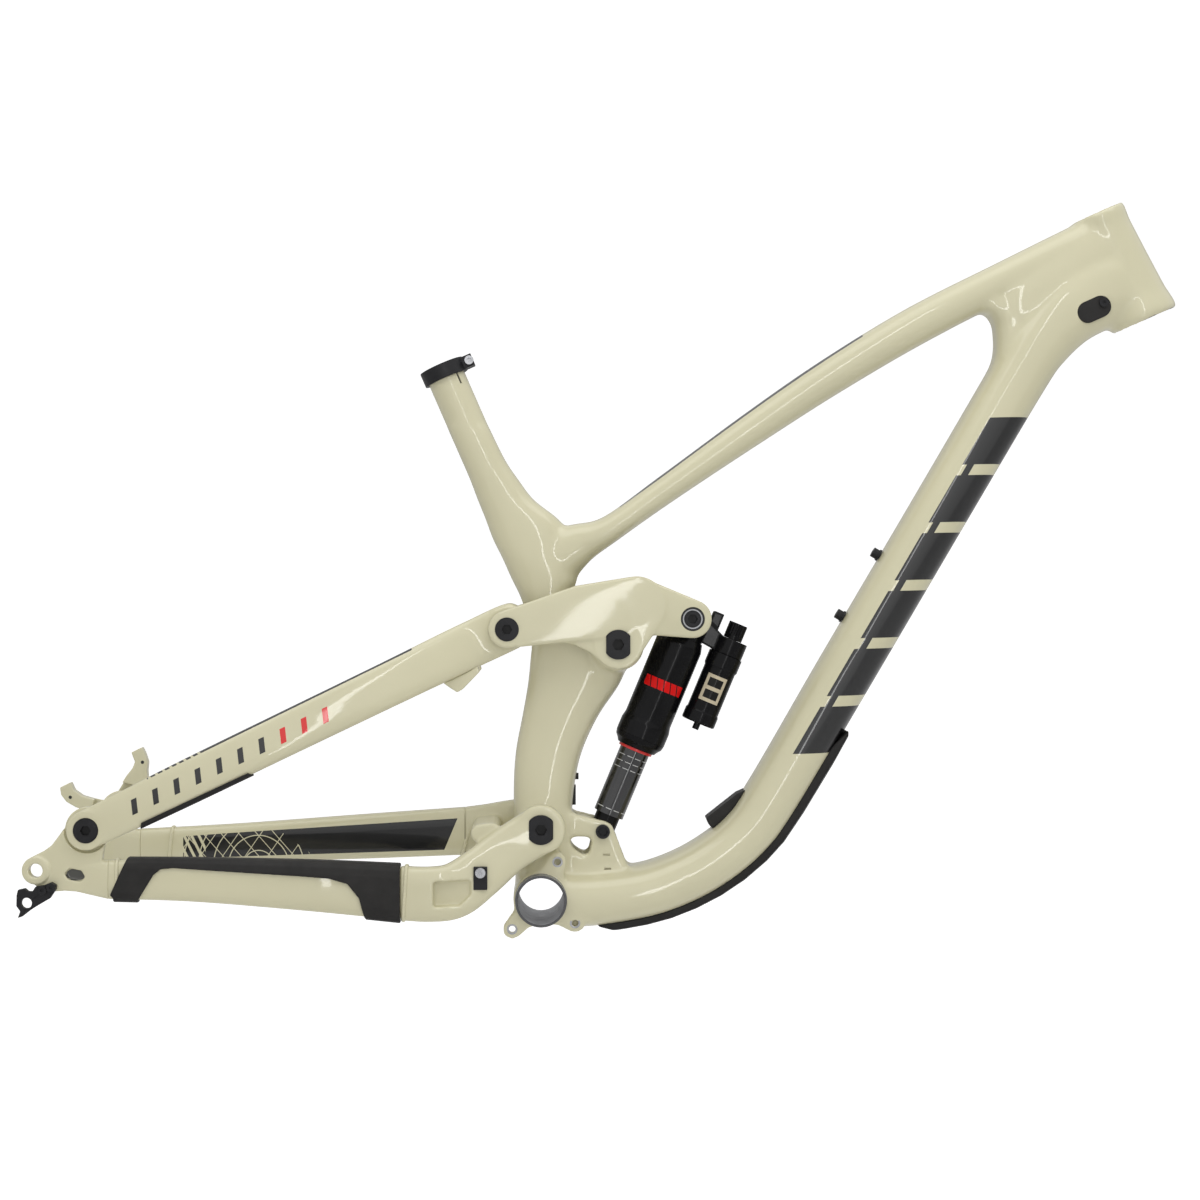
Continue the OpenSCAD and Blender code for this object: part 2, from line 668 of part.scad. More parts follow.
// ---- Swingarm ----
module yoke_bridge() {
  hull() {
    bar(main_pivot + [-54, -4], 8, -40, 40, round_fn);
    bar(main_pivot + [-43, -1.5], 7, -40, 40, round_fn);
  }
}
module yoke_skin() {
  resize([0, 0, 0]) union() {
    sweep(right_arm_stations, power = 3.4, first = 0);
    sweep(left_arm_stations, power = 3.4, first = 0);
    for (side = [-1, 1]) on_side(side) bar(main_pivot, main_lobe_r, yoke_in, yoke_out, skin_fn);
    yoke_bridge();
  }
}
module chainstay_yoke() {
  color(paint) difference() {
    yoke_skin();
    for (side = [-1, 1]) on_side(side) {
      bar(main_pivot, pivot_axle_r, yoke_in - 1, yoke_out + 1);
      pill(main_pivot, 13.2, 10.7, yoke_out - cap_pocket, yoke_out + 1);
    }
    bar(main_pivot, main_boss_r + 4, -yoke_in, yoke_in);
    at_cable_clamp() {
      rod(small_bolt_r, -8, 5);
      clamp_block();
    }
    plate(-62, -54.5) polygon([[-99, 17], [-99, -5], [-82, -3], [-62, 12], [-62, 20], [-79, 13]]);
  }
}
module chainstay_right() {
  color(paint) sweep(right_stay_stations, steps = 4, power = 3.4, turn = 0);
}
module chainstay_left() {
  color(paint) sweep(left_stay_stations, steps = 4, power = 3.4, turn = 0);
}
axle_boss_r = 12;
module dropout(side, tube_z) {
  tail = lower_stay_pivot - axle;
  color(paint) on_side(side) difference() {
    union() {
      plate(dropout_in, dropout_out) translate(axle) {
        circle(axle_boss_r, $fn = smooth_fn);
        translate(tail) circle(rear_lobe_r + 2.4, $fn = smooth_fn);
        polygon([
          [-9.7, 6.4], [-5, 11], [6.8, 16.9], [13.4, 21.6], [19.4, 29.5], [25, 37.4],
          tail + [-14, 13.5], tail + [15.5, -11.5], [tube_from_axle - 6, tube_z - axle_z + 16.5],
          [tube_from_axle - 6, -20], [42, -18.8], [25, -17.5], [5, -19], [-2, -11]]);
      }
      bar(axle, axle_boss_r, dropout_in, dropout_out + 1.5);
      hull() {
        plate(dropout_in + 0.5, dropout_out - 0.5) translate(axle)
          polygon([[34, -18], [34, tube_z - axle_z + 13], [35, tube_z - axle_z + 13], [35, -18]]);
        mirror([0, side < 0 ? 1 : 0, 0]) sweep([
          (side < 0 ? right_stay_stations : left_stay_stations)[0] - [1.5, 0, 0, 0, 0],
          (side < 0 ? right_stay_stations : left_stay_stations)[0]], steps = 1, power = 3.4,
          turn = 0);
      }
    }
    bar(axle, axle_hole_d / 2, dropout_in - 5, dropout_out + 5);
    bar(lower_stay_pivot, rear_lobe_r + 2.4 + 0.01, dropout_recess_y, dropout_out + 5);
    bar(lower_stay_pivot, stub_r, dropout_in - 1, dropout_out);
    plate(dropout_out - 4.5, dropout_out + 1) translate(axle + [33.7, -3.8]) rotate(-8)
      polygon([[-9, 0], [-5.4, 5], [5, 4.4], [9, -0.5], [5.4, -5], [-5, -4.6]]);
    if (side < 0) hanger_places() bar([0, 0], small_bolt_r, dropout_in - 1, dropout_out + 1);
  }
}
module dropout_right() {
  dropout(-1, right_stay_stations[0][1]);
}
module dropout_left() {
  dropout(1, left_stay_stations[0][1]);
}
module guard_outline() {
  polygon([
    [-351.5, 55], [-140, 55], [-118, 34], [-118, -20], [-150, -20], [-154, -10], [-158, 6],
    [-168, 19], [-184, 24], [-210, 26.5], [-317, 34.5], [-327.7, 33.5], [-334, 28.5],
    [-348, 5.5], [-348, 0], [-369, 0], [-369, 8.5], [-371.5, 11]]);
}
module chainstay_guard() {
  color(rubber) difference() {
    intersection() {
      sweep(right_stay_stations, steps = 4, power = 3.4, turn = 0, grow = stay_guard_t);
      plate(-(dropout_in + 16), -44) guard_outline();
    }
    sweep(right_stay_stations, steps = 4, power = 3.4, turn = 0);
  }
}
hanger_bolts_at = [[6.8, -16.3], [14.4, -13.8]];
hanger_hole = [-6.8, -27.4];
hanger_hole_r = 4.6;
hanger_t = 5;
module hanger_places() {
  for (p = hanger_bolts_at) translate([axle[0] + p[0], 0, axle[1] + p[1]]) children();
}
module derailleur_hanger() {
  color(black) mirror([0, 1, 0]) difference() {
    plate(dropout_out, dropout_out + hanger_t) translate(axle) polygon([
      [-14.3, -16.1], [-8.4, -14.8], [-5.1, -17.4], [-1.8, -17.4], [0.9, -13.2], [8.1, -12.1],
      [14.7, -9.5], [18.9, -12.1], [18.2, -16.1], [13.4, -23.3], [2.2, -29.9], [-3.1, -33.2],
      [-10.4, -38.9], [-14.3, -40.2], [-12.3, -34.6], [-15.6, -29.9], [-15.4, -20.7]]);
    bar(axle + hanger_hole, hanger_hole_r, dropout_out - 1, dropout_out + 6);
    bar(axle, axle_boss_r + gap, dropout_out - 1, dropout_out + 6);
    hanger_places() bar([0, 0], small_bolt_r, dropout_out - 1, dropout_out + 6);
  }
}
module hanger_bolts() {
  color(steel) mirror([0, 1, 0]) hanger_places() {
    bar([0, 0], small_bolt_r, dropout_in + 1, dropout_out + 5);
    difference() {
      bar([0, 0], small_head_r - 0.7, dropout_out + 5, dropout_out + 7);
      bar([0, 0], 1.7, dropout_out + 6, dropout_out + 8, 6);
    }
  }
}
clamp_at = [-53, 27];
clamp_face = 55;
module at_cable_clamp() {
  translate([clamp_at[0], -clamp_face, clamp_at[1]]) rotate([90, 0, 0]) children();
}
module clamp_block() {
  translate([-6, -15, -1]) cube([12, 20, 5]);
}
module cable_clamp() {
  color(black) at_cable_clamp() difference() {
    clamp_block();
    rod(small_bolt_r, -8, 5);
  }
}
module cable_clamp_bolt() {
  color(steel) at_cable_clamp() difference() {
    union() {
      rod(small_bolt_r, -7, 4);
      rod(small_head_r, 4, 6.5);
    }
    translate([0, 0, 5]) cylinder(r = 1.8, h = 2, $fn = 6);
  }
}
module main_pivot_axle() {
  y = yoke_out - cap_pocket;
  color(steel) bar(main_pivot, pivot_axle_r, -y, y);
}
module pill_caps(p, out) {
  on_both_sides() difference() {
    pill(p, 13, 10.5, out - cap_pocket, out + cap_proud);
    bar(p, hex_af / 2 / cos(30) + 0.8, out + cap_proud - hex_depth, out + 5, 6);
  }
}
module main_pivot_caps() {
  color(black) pill_caps(main_pivot, yoke_out);
}
module lower_stay_bolts() {
  color(black) on_both_sides() {
    bar(lower_stay_pivot, stub_r, dropout_in, stay_lobe_out - 2);
    socket_bar(lower_stay_pivot, 10.6, stay_lobe_out - 2, stay_lobe_out + 0.8);
  }
}

// ---- Seatstays ----
module seatstay_skin(side) {
  on_side(side) {
    sweep(seatstay_stations, power = 3.4);
    bar(lower_stay_pivot, rear_lobe_r, stay_lobe_in, stay_lobe_out, skin_fn);
    bar(upper_stay_pivot, stay_end_r, stay_end_in, stay_end_out, skin_fn);
  }
}
module seatstay(side) {
  color(paint) difference() {
    resize([0, 0, 0]) seatstay_skin(side);
    on_side(side) {
      bar(lower_stay_pivot, stay_bearing_r, stay_lobe_in + gap, stay_lobe_out + 1);
      bar(lower_stay_pivot, stub_r + 1, stay_lobe_in - 5, stay_lobe_out);
      bar(upper_stay_pivot, stay_bearing_r, stay_end_out - 10, stay_end_out + 5);
      bar(upper_stay_pivot, stub_r + 1, stay_end_in - 5, stay_end_out);
    }
  }
}
module seatstay_right() {
  seatstay(-1);
}
module seatstay_left() {
  seatstay(1);
}
bridge_notch_y = 24;                    // room for the pillar at full travel
module seatstay_bridge() {
  color(paint) difference() {
    plate(-58, 58) polygon([
      [-95, 198], [-88, 206], [-56, 207], [-54, 202], [-69, 186.5], [-74, 183.5], [-81, 188]]);
    for (side = [-1, 1]) seatstay_skin(side);
    for (side = [-1, 1]) on_side(side) bridge_trim();
    plate(-bridge_notch_y, bridge_notch_y) translate([-77, 160]) square([60, 80]);
  }
}
// Everything outboard of the seatstays' middle line
module bridge_trim() {
  translate([-110, 38, 160]) cube([80, 30, 80]);
}
post_hole_r = 2.5;
post_depth_of = 15;                     // depth of the threaded holes
post_y = 74;
post_t = 12;
post_turn = 26.2;                       // slope of the line through both posts
post_line = heading_of(post_turn);
post_up = heading_of(post_turn + 90);
front_tip = lower_stay_pivot + [14.2, 57.8];
rear_tip = front_tip - brake_post_gap * post_line;
function by_post(tip, along, up) = tip + along * post_line + up * post_up;
module at_post(tip) {
  translate([tip[0], post_y + post_t / 2, tip[1]]) rotate([0, -post_turn, 0]) children();
}
module brake_mount() {
  color(paint) difference() {
    plate(post_y, post_y + post_t) {
      polygon([
        by_post(front_tip, -5.4, 0), by_post(front_tip, 5.5, 0), by_post(front_tip, 5.6, -6),
        by_post(front_tip, 4.4, -15), by_post(front_tip, 0, -22), by_post(front_tip, -3.2, -30),
        by_post(front_tip, -4, -44), by_post(front_tip, -45, -44), by_post(front_tip, -36, -28),
        by_post(front_tip, -19, -17.5), by_post(front_tip, -10.7, -13.6),
        by_post(front_tip, -6.2, -9.4)]);
      polygon([
        by_post(rear_tip, -5.4, 0), by_post(rear_tip, 5.4, 0), by_post(rear_tip, 5.2, -8),
        by_post(rear_tip, 9.5, -16), by_post(rear_tip, 19.5, -25), by_post(rear_tip, 34, -36),
        by_post(rear_tip, 22, -46), by_post(rear_tip, 4.5, -28), by_post(rear_tip, -0.3, -23.1),
        by_post(rear_tip, -5.8, -14.8), by_post(rear_tip, -7.5, -6.8)]);
    }
    seatstay_skin(1);
    bar(lower_stay_pivot, rear_lobe_r + 10, 0, dropout_out + gap);
    bar(lower_stay_pivot, rear_lobe_r - 1, 0, stay_lobe_out + 1);
    for (tip = [front_tip, rear_tip]) at_post(tip) rod(post_hole_r, -post_depth_of, 1);
  }
}
module seatstay_guard() {
  color(rubber) difference() {
    intersection() {
      on_side(-1) sweep(seatstay_stations, power = 3.4, grow = 1.6);
      plate(-100, -40)
        polygon([on_guard(34, -30), on_guard(46, -14.5), on_guard(146, -15.5), on_guard(156, -30)]);
    }
    on_side(-1) sweep(seatstay_stations, power = 3.4);
  }
}
function on_guard(along, up) =
  lower_stay_pivot + along * stay_dir + up * [-stay_dir[1], stay_dir[0]];
module lower_stay_bearings() {
  y = stay_lobe_in + gap;
  color(steel) on_both_sides()
    ring_bar(lower_stay_pivot, stay_bearing_r, stub_r + fit, y, y + stay_bearing_w);
}
module upper_stay_bearings() {
  y = stay_end_out - 10;
  color(steel) on_both_sides() ring_bar(upper_stay_pivot, stay_bearing_r, stub_r, y, y + 8);
}
module upper_stay_sleeves() {
  color(alloy) on_both_sides() bar(upper_stay_pivot, stub_r, stay_end_in, stay_end_out);
}

// ---- Rocker ----
module rocker_arm() {
  difference() {
    union() {
      hull() {
        bar(upper_stay_pivot, tail_lobe_r, rocker_tail_in, rocker_tail_out, round_fn);
        bar(rocker_pivot + [-35.5, 42], 10, rocker_in + 4, rocker_out + 0.5, round_fn);
        bar(crown, crown_r, rocker_in, rocker_out - 1, round_fn);
      }
      hull() {
        bar(crown, crown_r, rocker_in, rocker_out - 1, round_fn);
        bar(rocker_pivot, rocker_lobe_r, rocker_in, rocker_out, round_fn);
      }
      hull() {
        bar(crown, crown_r - 1, rocker_in, rocker_out - 1.5, round_fn);
        bar(trunnion, nose_lobe_r, rocker_in, rocker_nose_out, round_fn);
      }
      bar(trunnion, nose_lobe_r - 0.5, rocker_nose_in, rocker_in + 1);
    }
    bar(upper_stay_pivot, stay_end_r + 8, 0, rocker_tail_in);
    bar(upper_stay_pivot, stub_cap_r, rocker_tail_out - 5, rocker_tail_out + 5);
    bar(upper_stay_pivot, stub_r, 0, rocker_tail_out);
    bar(rocker_pivot, pivot_axle_r, 0, rocker_out + 1);
    pill(rocker_pivot, 13.2, 10.7, rocker_out - cap_pocket, rocker_out + 5);
    bar(trunnion, trunnion_bearing_r, rocker_nose_in + 2, rocker_nose_out + 1);
    bar(trunnion, trunnion_bolt_r, 0, rocker_nose_out);
  }
}
module rocker_right() {
  color(paint) mirror([0, 1, 0]) rocker_arm();
}
module rocker_left() {
  color(paint) rocker_arm();
}
module rocker_pivot_axle() {
  y = rocker_out - cap_pocket;
  color(steel) bar(rocker_pivot, pivot_axle_r, -y, y);
}
module rocker_pivot_caps() {
  color(black) pill_caps(rocker_pivot, rocker_out);
}
module upper_stay_bolts() {
  color(black) on_both_sides() {
    bar(upper_stay_pivot, stub_r, rocker_tail_in, rocker_tail_out - 5);
    socket_bar(upper_stay_pivot, stub_cap_r, rocker_tail_out - 5, rocker_tail_out + 0.6);
  }
}
module trunnion_bearings() {
  color(steel) on_both_sides()
    ring_bar(trunnion, trunnion_bearing_r, trunnion_bolt_r, rocker_nose_in + 2, rocker_nose_out);
}
module trunnion_bolts() {
  color(black) on_both_sides()
    socket_bar(trunnion, trunnion_bolt_r, rocker_nose_in, rocker_nose_out + 0.5);
}

// ---- Shock body ----
head_r = 13;
module shock_head() {
  color(black) difference() {
    union() {
      bar(trunnion, head_r, -trunnion_y, trunnion_y);
      at_shock() {
        rod(can_d / 2 - 3, 4, can_start);
        rod(can_bore_r, can_start, can_start + 8);
      }
    }
    on_both_sides() bar(trunnion, 5, trunnion_y - 12, trunnion_y + 1);
    at_shock() rod(rod_r, can_start - 6, can_start + 9);
  }
}
module air_can() {
  color(black) at_shock() rotate_extrude($fn = smooth_fn) polygon([
    [can_bore_r, can_start], [can_d / 2 - 2, can_start], [can_d / 2, can_start + 8],
    [can_d / 2, can_end - 6], [bulge_r, can_end], [bulge_r, can_end + 12],
    [can_bore_r, can_end + 12]]);
}
module seal_head() {
  bore = shaft_d / 2 + fit;
  color(black) at_shock() rotate_extrude($fn = smooth_fn) polygon([
    [bore, can_end + 2], [can_bore_r, can_end + 2], [can_bore_r, can_end + 12],
    [bulge_r, can_end + 12], [bulge_r - 1, can_end + 16], [bulge_r - 3.5, can_end + 19],
    [can_d / 2 - 4, seal_end - 1], [bore, seal_end - 1]]);
}
module travel_ring() {
  color(red) at_shock() tube(shaft_d / 2 + 1.9, shaft_d / 2 + fit, seal_end - 1, seal_end + 1.5);
}
module damper_rod() {
  color(steel) at_shock() rod(rod_r, can_start - 6, piston_top + 34);
}
module damper_piston() {
  color(alloy) at_shock() tube(shaft_bore_r - fit, rod_r, piston_top + 22, piston_top + 32);
}
reservoir_top = 18;
module reservoir_bridge() {
  color(black) difference() {
    at_shock() {
      hull() {
        translate([-8, 8, 4]) rotate([90, 0, 0]) cylinder(r = 11, h = 16, $fn = round_fn);
        translate([-reservoir_gap + 8, 8, 11]) rotate([90, 0, 0]) cylinder(r = 7, h = 16, $fn = round_fn);
      }
      translate([-reservoir_gap, 0, 0]) rod(reservoir_d / 2 - 1, 3, reservoir_top);
      translate([-27, -7, -15]) cube([11, 14, 14]);
    }
    bar(trunnion, head_r, -trunnion_y, trunnion_y);
    at_shock() rod(can_d / 2 - 3, -20, can_start);
    at_shock() rod(can_d / 2 + 0.2, can_start - 0.2, can_start + 30);
    at_reservoir() rod(dial_stem_r + fit, -10, 12);
  }
}
module at_reservoir() {
  at_shock() translate([-reservoir_gap, 0, 0]) children();
}
module reservoir() {
  r = reservoir_d / 2;
  low = reservoir_top + reservoir_len;
  color(black) at_reservoir() difference() {
    rotate_extrude($fn = smooth_fn) polygon([
      [0, reservoir_top], [r, reservoir_top], [r, reservoir_top + 12], [r - 1, reservoir_top + 14],
      [r - 1, low - 12], [r, low - 10], [r, low - 1], [r - 1, low], [0, low]]);
    translate([0, 0, low - 8]) cylinder(r = 3, h = 9, $fn = smooth_fn);
  }
}
module reservoir_valve() {
  low = reservoir_top + reservoir_len;
  color(black) at_reservoir() rod(3, low - 8, low + 6);
}
module air_valve_cap() {
  color(black) at_shock() translate([can_d / 2 - 3, 0, can_start - 5]) rotate([0, 90, 0])
    cylinder(r = 3.8, h = 7, $fn = smooth_fn);
}
dial_stem_r = 4;
dial_r = 8.5;
dial_h = 15;
dial_low = 3 - gap;                     // underside of the dial, just above the bridge
module compression_dial() {
  color(black) at_reservoir() {
    rod(dial_stem_r, dial_low - 1, 11);
    difference() {
      rod(dial_r, dial_low - dial_h, dial_low);
      for (a = [0:30:330]) rotate(a) translate([dial_r + 0.6, 0, dial_low - dial_h - 1])
        cylinder(r = 1.3, h = dial_h - 3, $fn = 24);
    }
  }
}

// ---- Shock shaft ----
module shock_shaft() {
  color(black) at_shock() difference() {
    rod(shaft_d / 2, piston_top + piston_h, shaft_end);
    rod(shaft_bore_r, piston_top + piston_h + 6, shaft_end - 6);
    rod(rod_r + fit, piston_top, piston_top + piston_h + 8);
  }
}
module air_piston() {
  color(alloy) at_shock() tube(can_bore_r - fit, rod_r + fit, piston_top, piston_top + piston_h);
}
module shock_eyelet() {
  color(black) difference() {
    union() {
      bar(shock_eye, eye_r, -eye_half_w, eye_half_w);
      at_shock() rod(eye_r + 1, shaft_end, shock_len - 3);
    }
    bar(shock_eye, 6.3, -20, 20);
    on_both_sides() translate([shock_eye[0] - 20, eye_half_w, shock_eye[1] - 20]) cube([40, 10, 40]);
  }
}
module eyelet_bushing() {
  color(alloy) ring_bar(shock_eye, 6.3, eye_bolt_r + fit, -eye_half_w, eye_half_w);
}

front_triangle();
bb_shell();
seat_clamp();
seat_clamp_bolt();
main_pivot_bearings();
rocker_pivot_bearings();
shock_lower_bolt();
bottle_cage_bolts();
down_tube_guard();
head_port_covers();
head_port_screws();
down_tube_port_cover();
seat_tube_grommets();
chainstay_yoke();
chainstay_right();
chainstay_left();
dropout_right();
dropout_left();
chainstay_guard();
derailleur_hanger();
hanger_bolts();
cable_clamp();
cable_clamp_bolt();
main_pivot_axle();
main_pivot_caps();
lower_stay_bolts();
seatstay_right();
seatstay_left();
seatstay_bridge();
brake_mount();
seatstay_guard();
lower_stay_bearings();
upper_stay_bearings();
upper_stay_sleeves();
rocker_right();
rocker_left();
rocker_pivot_axle();
rocker_pivot_caps();
upper_stay_bolts();
trunnion_bearings();
trunnion_bolts();
shock_head();
air_can();
seal_head();
reservoir_bridge();
reservoir();
reservoir_valve();
air_valve_cap();
travel_ring();
damper_rod();
damper_piston();
compression_dial();
shock_shaft();
air_piston();
shock_eyelet();
eyelet_bushing();
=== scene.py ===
"""Looks for a full-suspension bicycle frame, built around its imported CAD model.

Sizes below are millimetres in the frame's own axes: X forward, Y away from the camera, Z up, with the
origin at the middle of the bottom bracket. Meshes are scaled to metres when they are made.
"""

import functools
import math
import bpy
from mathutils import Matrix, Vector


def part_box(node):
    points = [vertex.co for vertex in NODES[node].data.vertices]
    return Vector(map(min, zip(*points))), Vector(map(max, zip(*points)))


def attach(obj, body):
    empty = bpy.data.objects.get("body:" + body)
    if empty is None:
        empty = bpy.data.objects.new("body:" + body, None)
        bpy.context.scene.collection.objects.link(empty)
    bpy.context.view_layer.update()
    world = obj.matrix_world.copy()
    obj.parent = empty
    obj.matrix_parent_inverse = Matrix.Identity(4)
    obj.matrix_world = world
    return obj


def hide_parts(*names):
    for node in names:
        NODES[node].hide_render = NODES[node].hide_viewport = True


bl_info = {
    "name": "Bicycle Frame Dressing",
    "version": (1, 0, 0),
    "blender": (4, 5, 0),
    "location": "View3D > Sidebar > Frame",
    "description": "Smooth skins, finishes and studio for a full-suspension bicycle frame",
    "category": "Object",
}

import bmesh
import bpy
from bpy.props import FloatProperty, FloatVectorProperty, IntProperty, PointerProperty
from mathutils import Vector

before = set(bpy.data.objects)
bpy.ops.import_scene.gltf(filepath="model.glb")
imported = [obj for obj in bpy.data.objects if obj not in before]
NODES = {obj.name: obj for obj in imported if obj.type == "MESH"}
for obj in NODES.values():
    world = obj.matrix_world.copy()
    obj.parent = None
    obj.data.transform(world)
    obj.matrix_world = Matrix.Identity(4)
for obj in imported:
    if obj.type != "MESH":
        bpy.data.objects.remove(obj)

MM = 0.001
IMAGE_SIZE = 1200                   # the photograph is square, in pixels
OPTICAL_CENTRE = (541, 589)         # its pixel straight in front of the lens
SENSOR = 36                         # width of the camera's sensor

# ---- Fixed points in the side view (X, Z) ----
BB = Vector((0, 0))
MAIN = Vector((0, 63))              # swingarm pivot
ROCK = Vector((68, 226))            # rocker pivot
UPPER = Vector((-30, 239.5))        # seatstay to rocker
LOWER = Vector((-392, 67))          # seatstay to chainstay
TRUNNION = Vector((133.98, 248.46))     # top of the shock
EYE = Vector((55, 59))              # lower eye of the shock
AXLE = Vector((-436, 32))           # rear axle
HEAD_ANGLE = math.radians(66)
HEAD_AXIS = Vector((-math.cos(HEAD_ANGLE), math.sin(HEAD_ANGLE)))
HEAD_LEN = 106.5
HEAD_TOP_D = 49.5
HEAD_LOW_D = 61.5
HEAD_TOP = Vector((500, 613.5))
HEAD_LOW = HEAD_TOP - HEAD_LEN * HEAD_AXIS
HEAD_MID = HEAD_LOW + 0.35 * HEAD_LEN * HEAD_AXIS
HEAD_HIGH = HEAD_LOW + 0.74 * HEAD_LEN * HEAD_AXIS
SEAT_ANGLE = math.radians(66.3)
SEAT_AXIS = Vector((-math.cos(SEAT_ANGLE), math.sin(SEAT_ANGLE)))
SEAT_X = 119
SEAT_TOP_Z = 475
SEAT_D = 34.9
POST_D = 31.6
POST_DEPTH = 222
HEADSET_TOP_R = 22
HEADSET_LOW_R = 28
HEADSET_DEPTH = 12
STEERER_TOP_R = 18.5                # the bore between the headset's cups
STEERER_LOW_R = 24
TAB_ANGLES = (66.4, 225.7, 325.6)   # chain guide tabs, in degrees above forward
TAB_R = 36.5                        # from the bottom bracket to their holes
AXLE_R = 7.45                       # bore for the pivot axles
BEARING_R = 14                      # seats of the pivot bearings
BEARING_WIDTH = 7
CAP_R = 13.2                        # pocket for the pivot caps
CAP_FLAT = 10.7                     # half its width between the flats
BEAD_STEP = 0.55                    # length of one step of a weld bead
BEAD_SCALLOP = 2.7                  # length of one puddle
SHOCK_AXIS = (EYE - TRUNNION).normalized()
SHOCK_SIDE = Vector((SHOCK_AXIS.y, -SHOCK_AXIS.x))   # square to the shock, towards the rear

# ---- Depths across the frame ----
MAIN_BOSS_Y = 28
ROCK_BOSS_Y = 30
GAP = 0.3
YOKE_IN = MAIN_BOSS_Y + GAP
YOKE_OUT = YOKE_IN + 17.7
ROCKER_IN = ROCK_BOSS_Y + GAP
ROCKER_OUT = ROCKER_IN + 13.7
STAY_END_IN = 26
STAY_END_OUT = 38
STAY_TIP_OUT = 34
TAIL_IN = STAY_END_OUT + GAP
TAIL_OUT = TAIL_IN + 10.7
NOSE_IN = 27 + GAP
NOSE_OUT = NOSE_IN + 10.7
DROP_IN = 74
DROP_OUT = 83
RECESS_Y = DROP_IN + 5.7
LOBE_IN = RECESS_Y + 2 * GAP
LOBE_OUT = LOBE_IN + 7.7
CHEEK_IN = 11.3
CHEEK_OUT = 20
BB_Y = 34
SLEEVE_R = 22.8

# ---- Stations of the swept tubes: (x, z, y, depth, width) ----
STAY_POWER = 3.4                    # how square the stays' sections are; 2 is round
SWEEP_SIDES = 72
TOP_ARCH = 22                       # rise of the top tube's arch
ARCH_POWER = 1.1                    # over 1 moves its crown forward
DOWN_LOW = Vector((209, 91))
DOWN_HIGH = HEAD_MID + Vector((-100, -86))
DOWN_DIR = (DOWN_HIGH - DOWN_LOW).normalized()
DOWN_UP = Vector((-DOWN_DIR.y, DOWN_DIR.x))
SEAT_NODE = Vector((33, 315))
TOP_LOW = SEAT_NODE + Vector((29, 14))
TOP_HIGH = HEAD_HIGH + Vector((-6, 0.7))


def on_seat_axis(z):
    return Vector((SEAT_X - z / math.tan(SEAT_ANGLE), z))


SEAT_TOP = on_seat_axis(SEAT_TOP_Z)


def on_seat(z, forward, depth, width):
    """A station on the seat tube's axis."""
    p = on_seat_axis(z)
    return (p.x + forward, z, 0, depth, width)


def on_down(share, depth, width):
    """A station that share of the way up the straight of the down tube."""
    p = DOWN_LOW.lerp(DOWN_HIGH, share)
    return (p.x, p.y, 0, depth, width)


def by_head(x, z, depth, width):
    """A station given from the middle of the lower head tube."""
    return (HEAD_MID.x + x, HEAD_MID.y + z, 0, depth, width)


def on_top(share, depth, up=0.0):
    """A station that share of the way up the arched top tube."""
    p = TOP_LOW.lerp(TOP_HIGH, share)
    rise = TOP_ARCH * math.sin(math.pi * share ** ARCH_POWER)
    return (p.x, p.y + rise + up, 0, depth, 42 + 2 * share)


DOWN_TUBE = [
    (0, 0, 0, 48, 74),
    (34, -2.5, 0, 50, 74),
    (71, 1, 0, 48.5, 74),
    (107.5, 9, 0, 48, 72),
    (146, 26.5, 0, 48, 69),
    (181.5, 53.5, 0, 48, 66),
    on_down(0, 49.5, 64),
    on_down(0.3, 51, 62),
    on_down(0.7, 51, 60),
    on_down(1, 52, 58),
    by_head(-80, -54, 56, 58),
    by_head(-56, -27, 63, 57),
    by_head(-28, -9, 68, 57),
    by_head(-8, -2, 66, 56),
]
TOP_TUBE = [
    (SEAT_NODE.x - 27, SEAT_NODE.y - 16, 0, 60, 38),
    (SEAT_NODE.x, SEAT_NODE.y, 0, 39, 39),
    on_top(0, 25),
    on_top(0.12, 25.5),
    on_top(0.30, 30.5, -0.8),
    on_top(0.45, 33.5, -0.5),
    on_top(0.62, 35.2, 0.5),
    on_top(0.80, 34.8, 1.4),
    on_top(0.93, 40.5, 1.7),
    on_top(1, 45.5, 1),
]
GUSSET = [
    by_head(-104, -38, 80, 42),
    by_head(-86, -26, 90, 47),
    by_head(-40, 4, 90, 49),
    by_head(-8, 22, 82, 48),
]
PILLAR = [
    (0, 2, 0, 47, 66),
    (0, 30, 0, 46, 58),
    (1.4, 63, 0, 51.2, 54),
    (2.8, 99, 0, 54.9, 48),
    (7.3, 130, 0, 59.9, 44),
    (17.8, 162, 0, 68.9, 43),
    (29.6, 190, 0, 82.9, 43),
    (33, 209, 0, 86, 43),
    (28, 234, 0, 73, 43),
    (6, 264, 0, 46, 42),
    (3, 285, 0, 60, 41),
    (-5, 303, 0, 60, 41),
    (-9, 320, 0, 69, 40),
    (-16.5, 337, 0, 66.5, 39),
    on_seat(355, 5.3, 51, 37),
    on_seat(373, 2.9, 44, 36),
    on_seat(391, 0.8, 39.6, 35),
    on_seat(420, 0, SEAT_D / math.sin(SEAT_ANGLE), SEAT_D),
]
STAY_REAR_X = AXLE.x + 63
RIGHT_JOINT_X = -123
LEFT_JOINT_X = -70
RIGHT_STAY = [
    (STAY_REAR_X, 24, -77.5, 34, 15),
    (-300, 22.3, -75, 36, 18),
    (-200, 16, -66, 42.5, 20),
    (RIGHT_JOINT_X, 8.7, -53, 47.5, 20),
]
LEFT_STAY = [
    (STAY_REAR_X, 34, 77.5, 34, 15),
    (-280, 38.6, 73, 36, 18),
    (-170, 45.5, 60, 41, 19),
    (LEFT_JOINT_X, 52.3, 47.5, 44, 18.5),
]
YOKE_MID = (YOKE_IN + YOKE_OUT) / 2
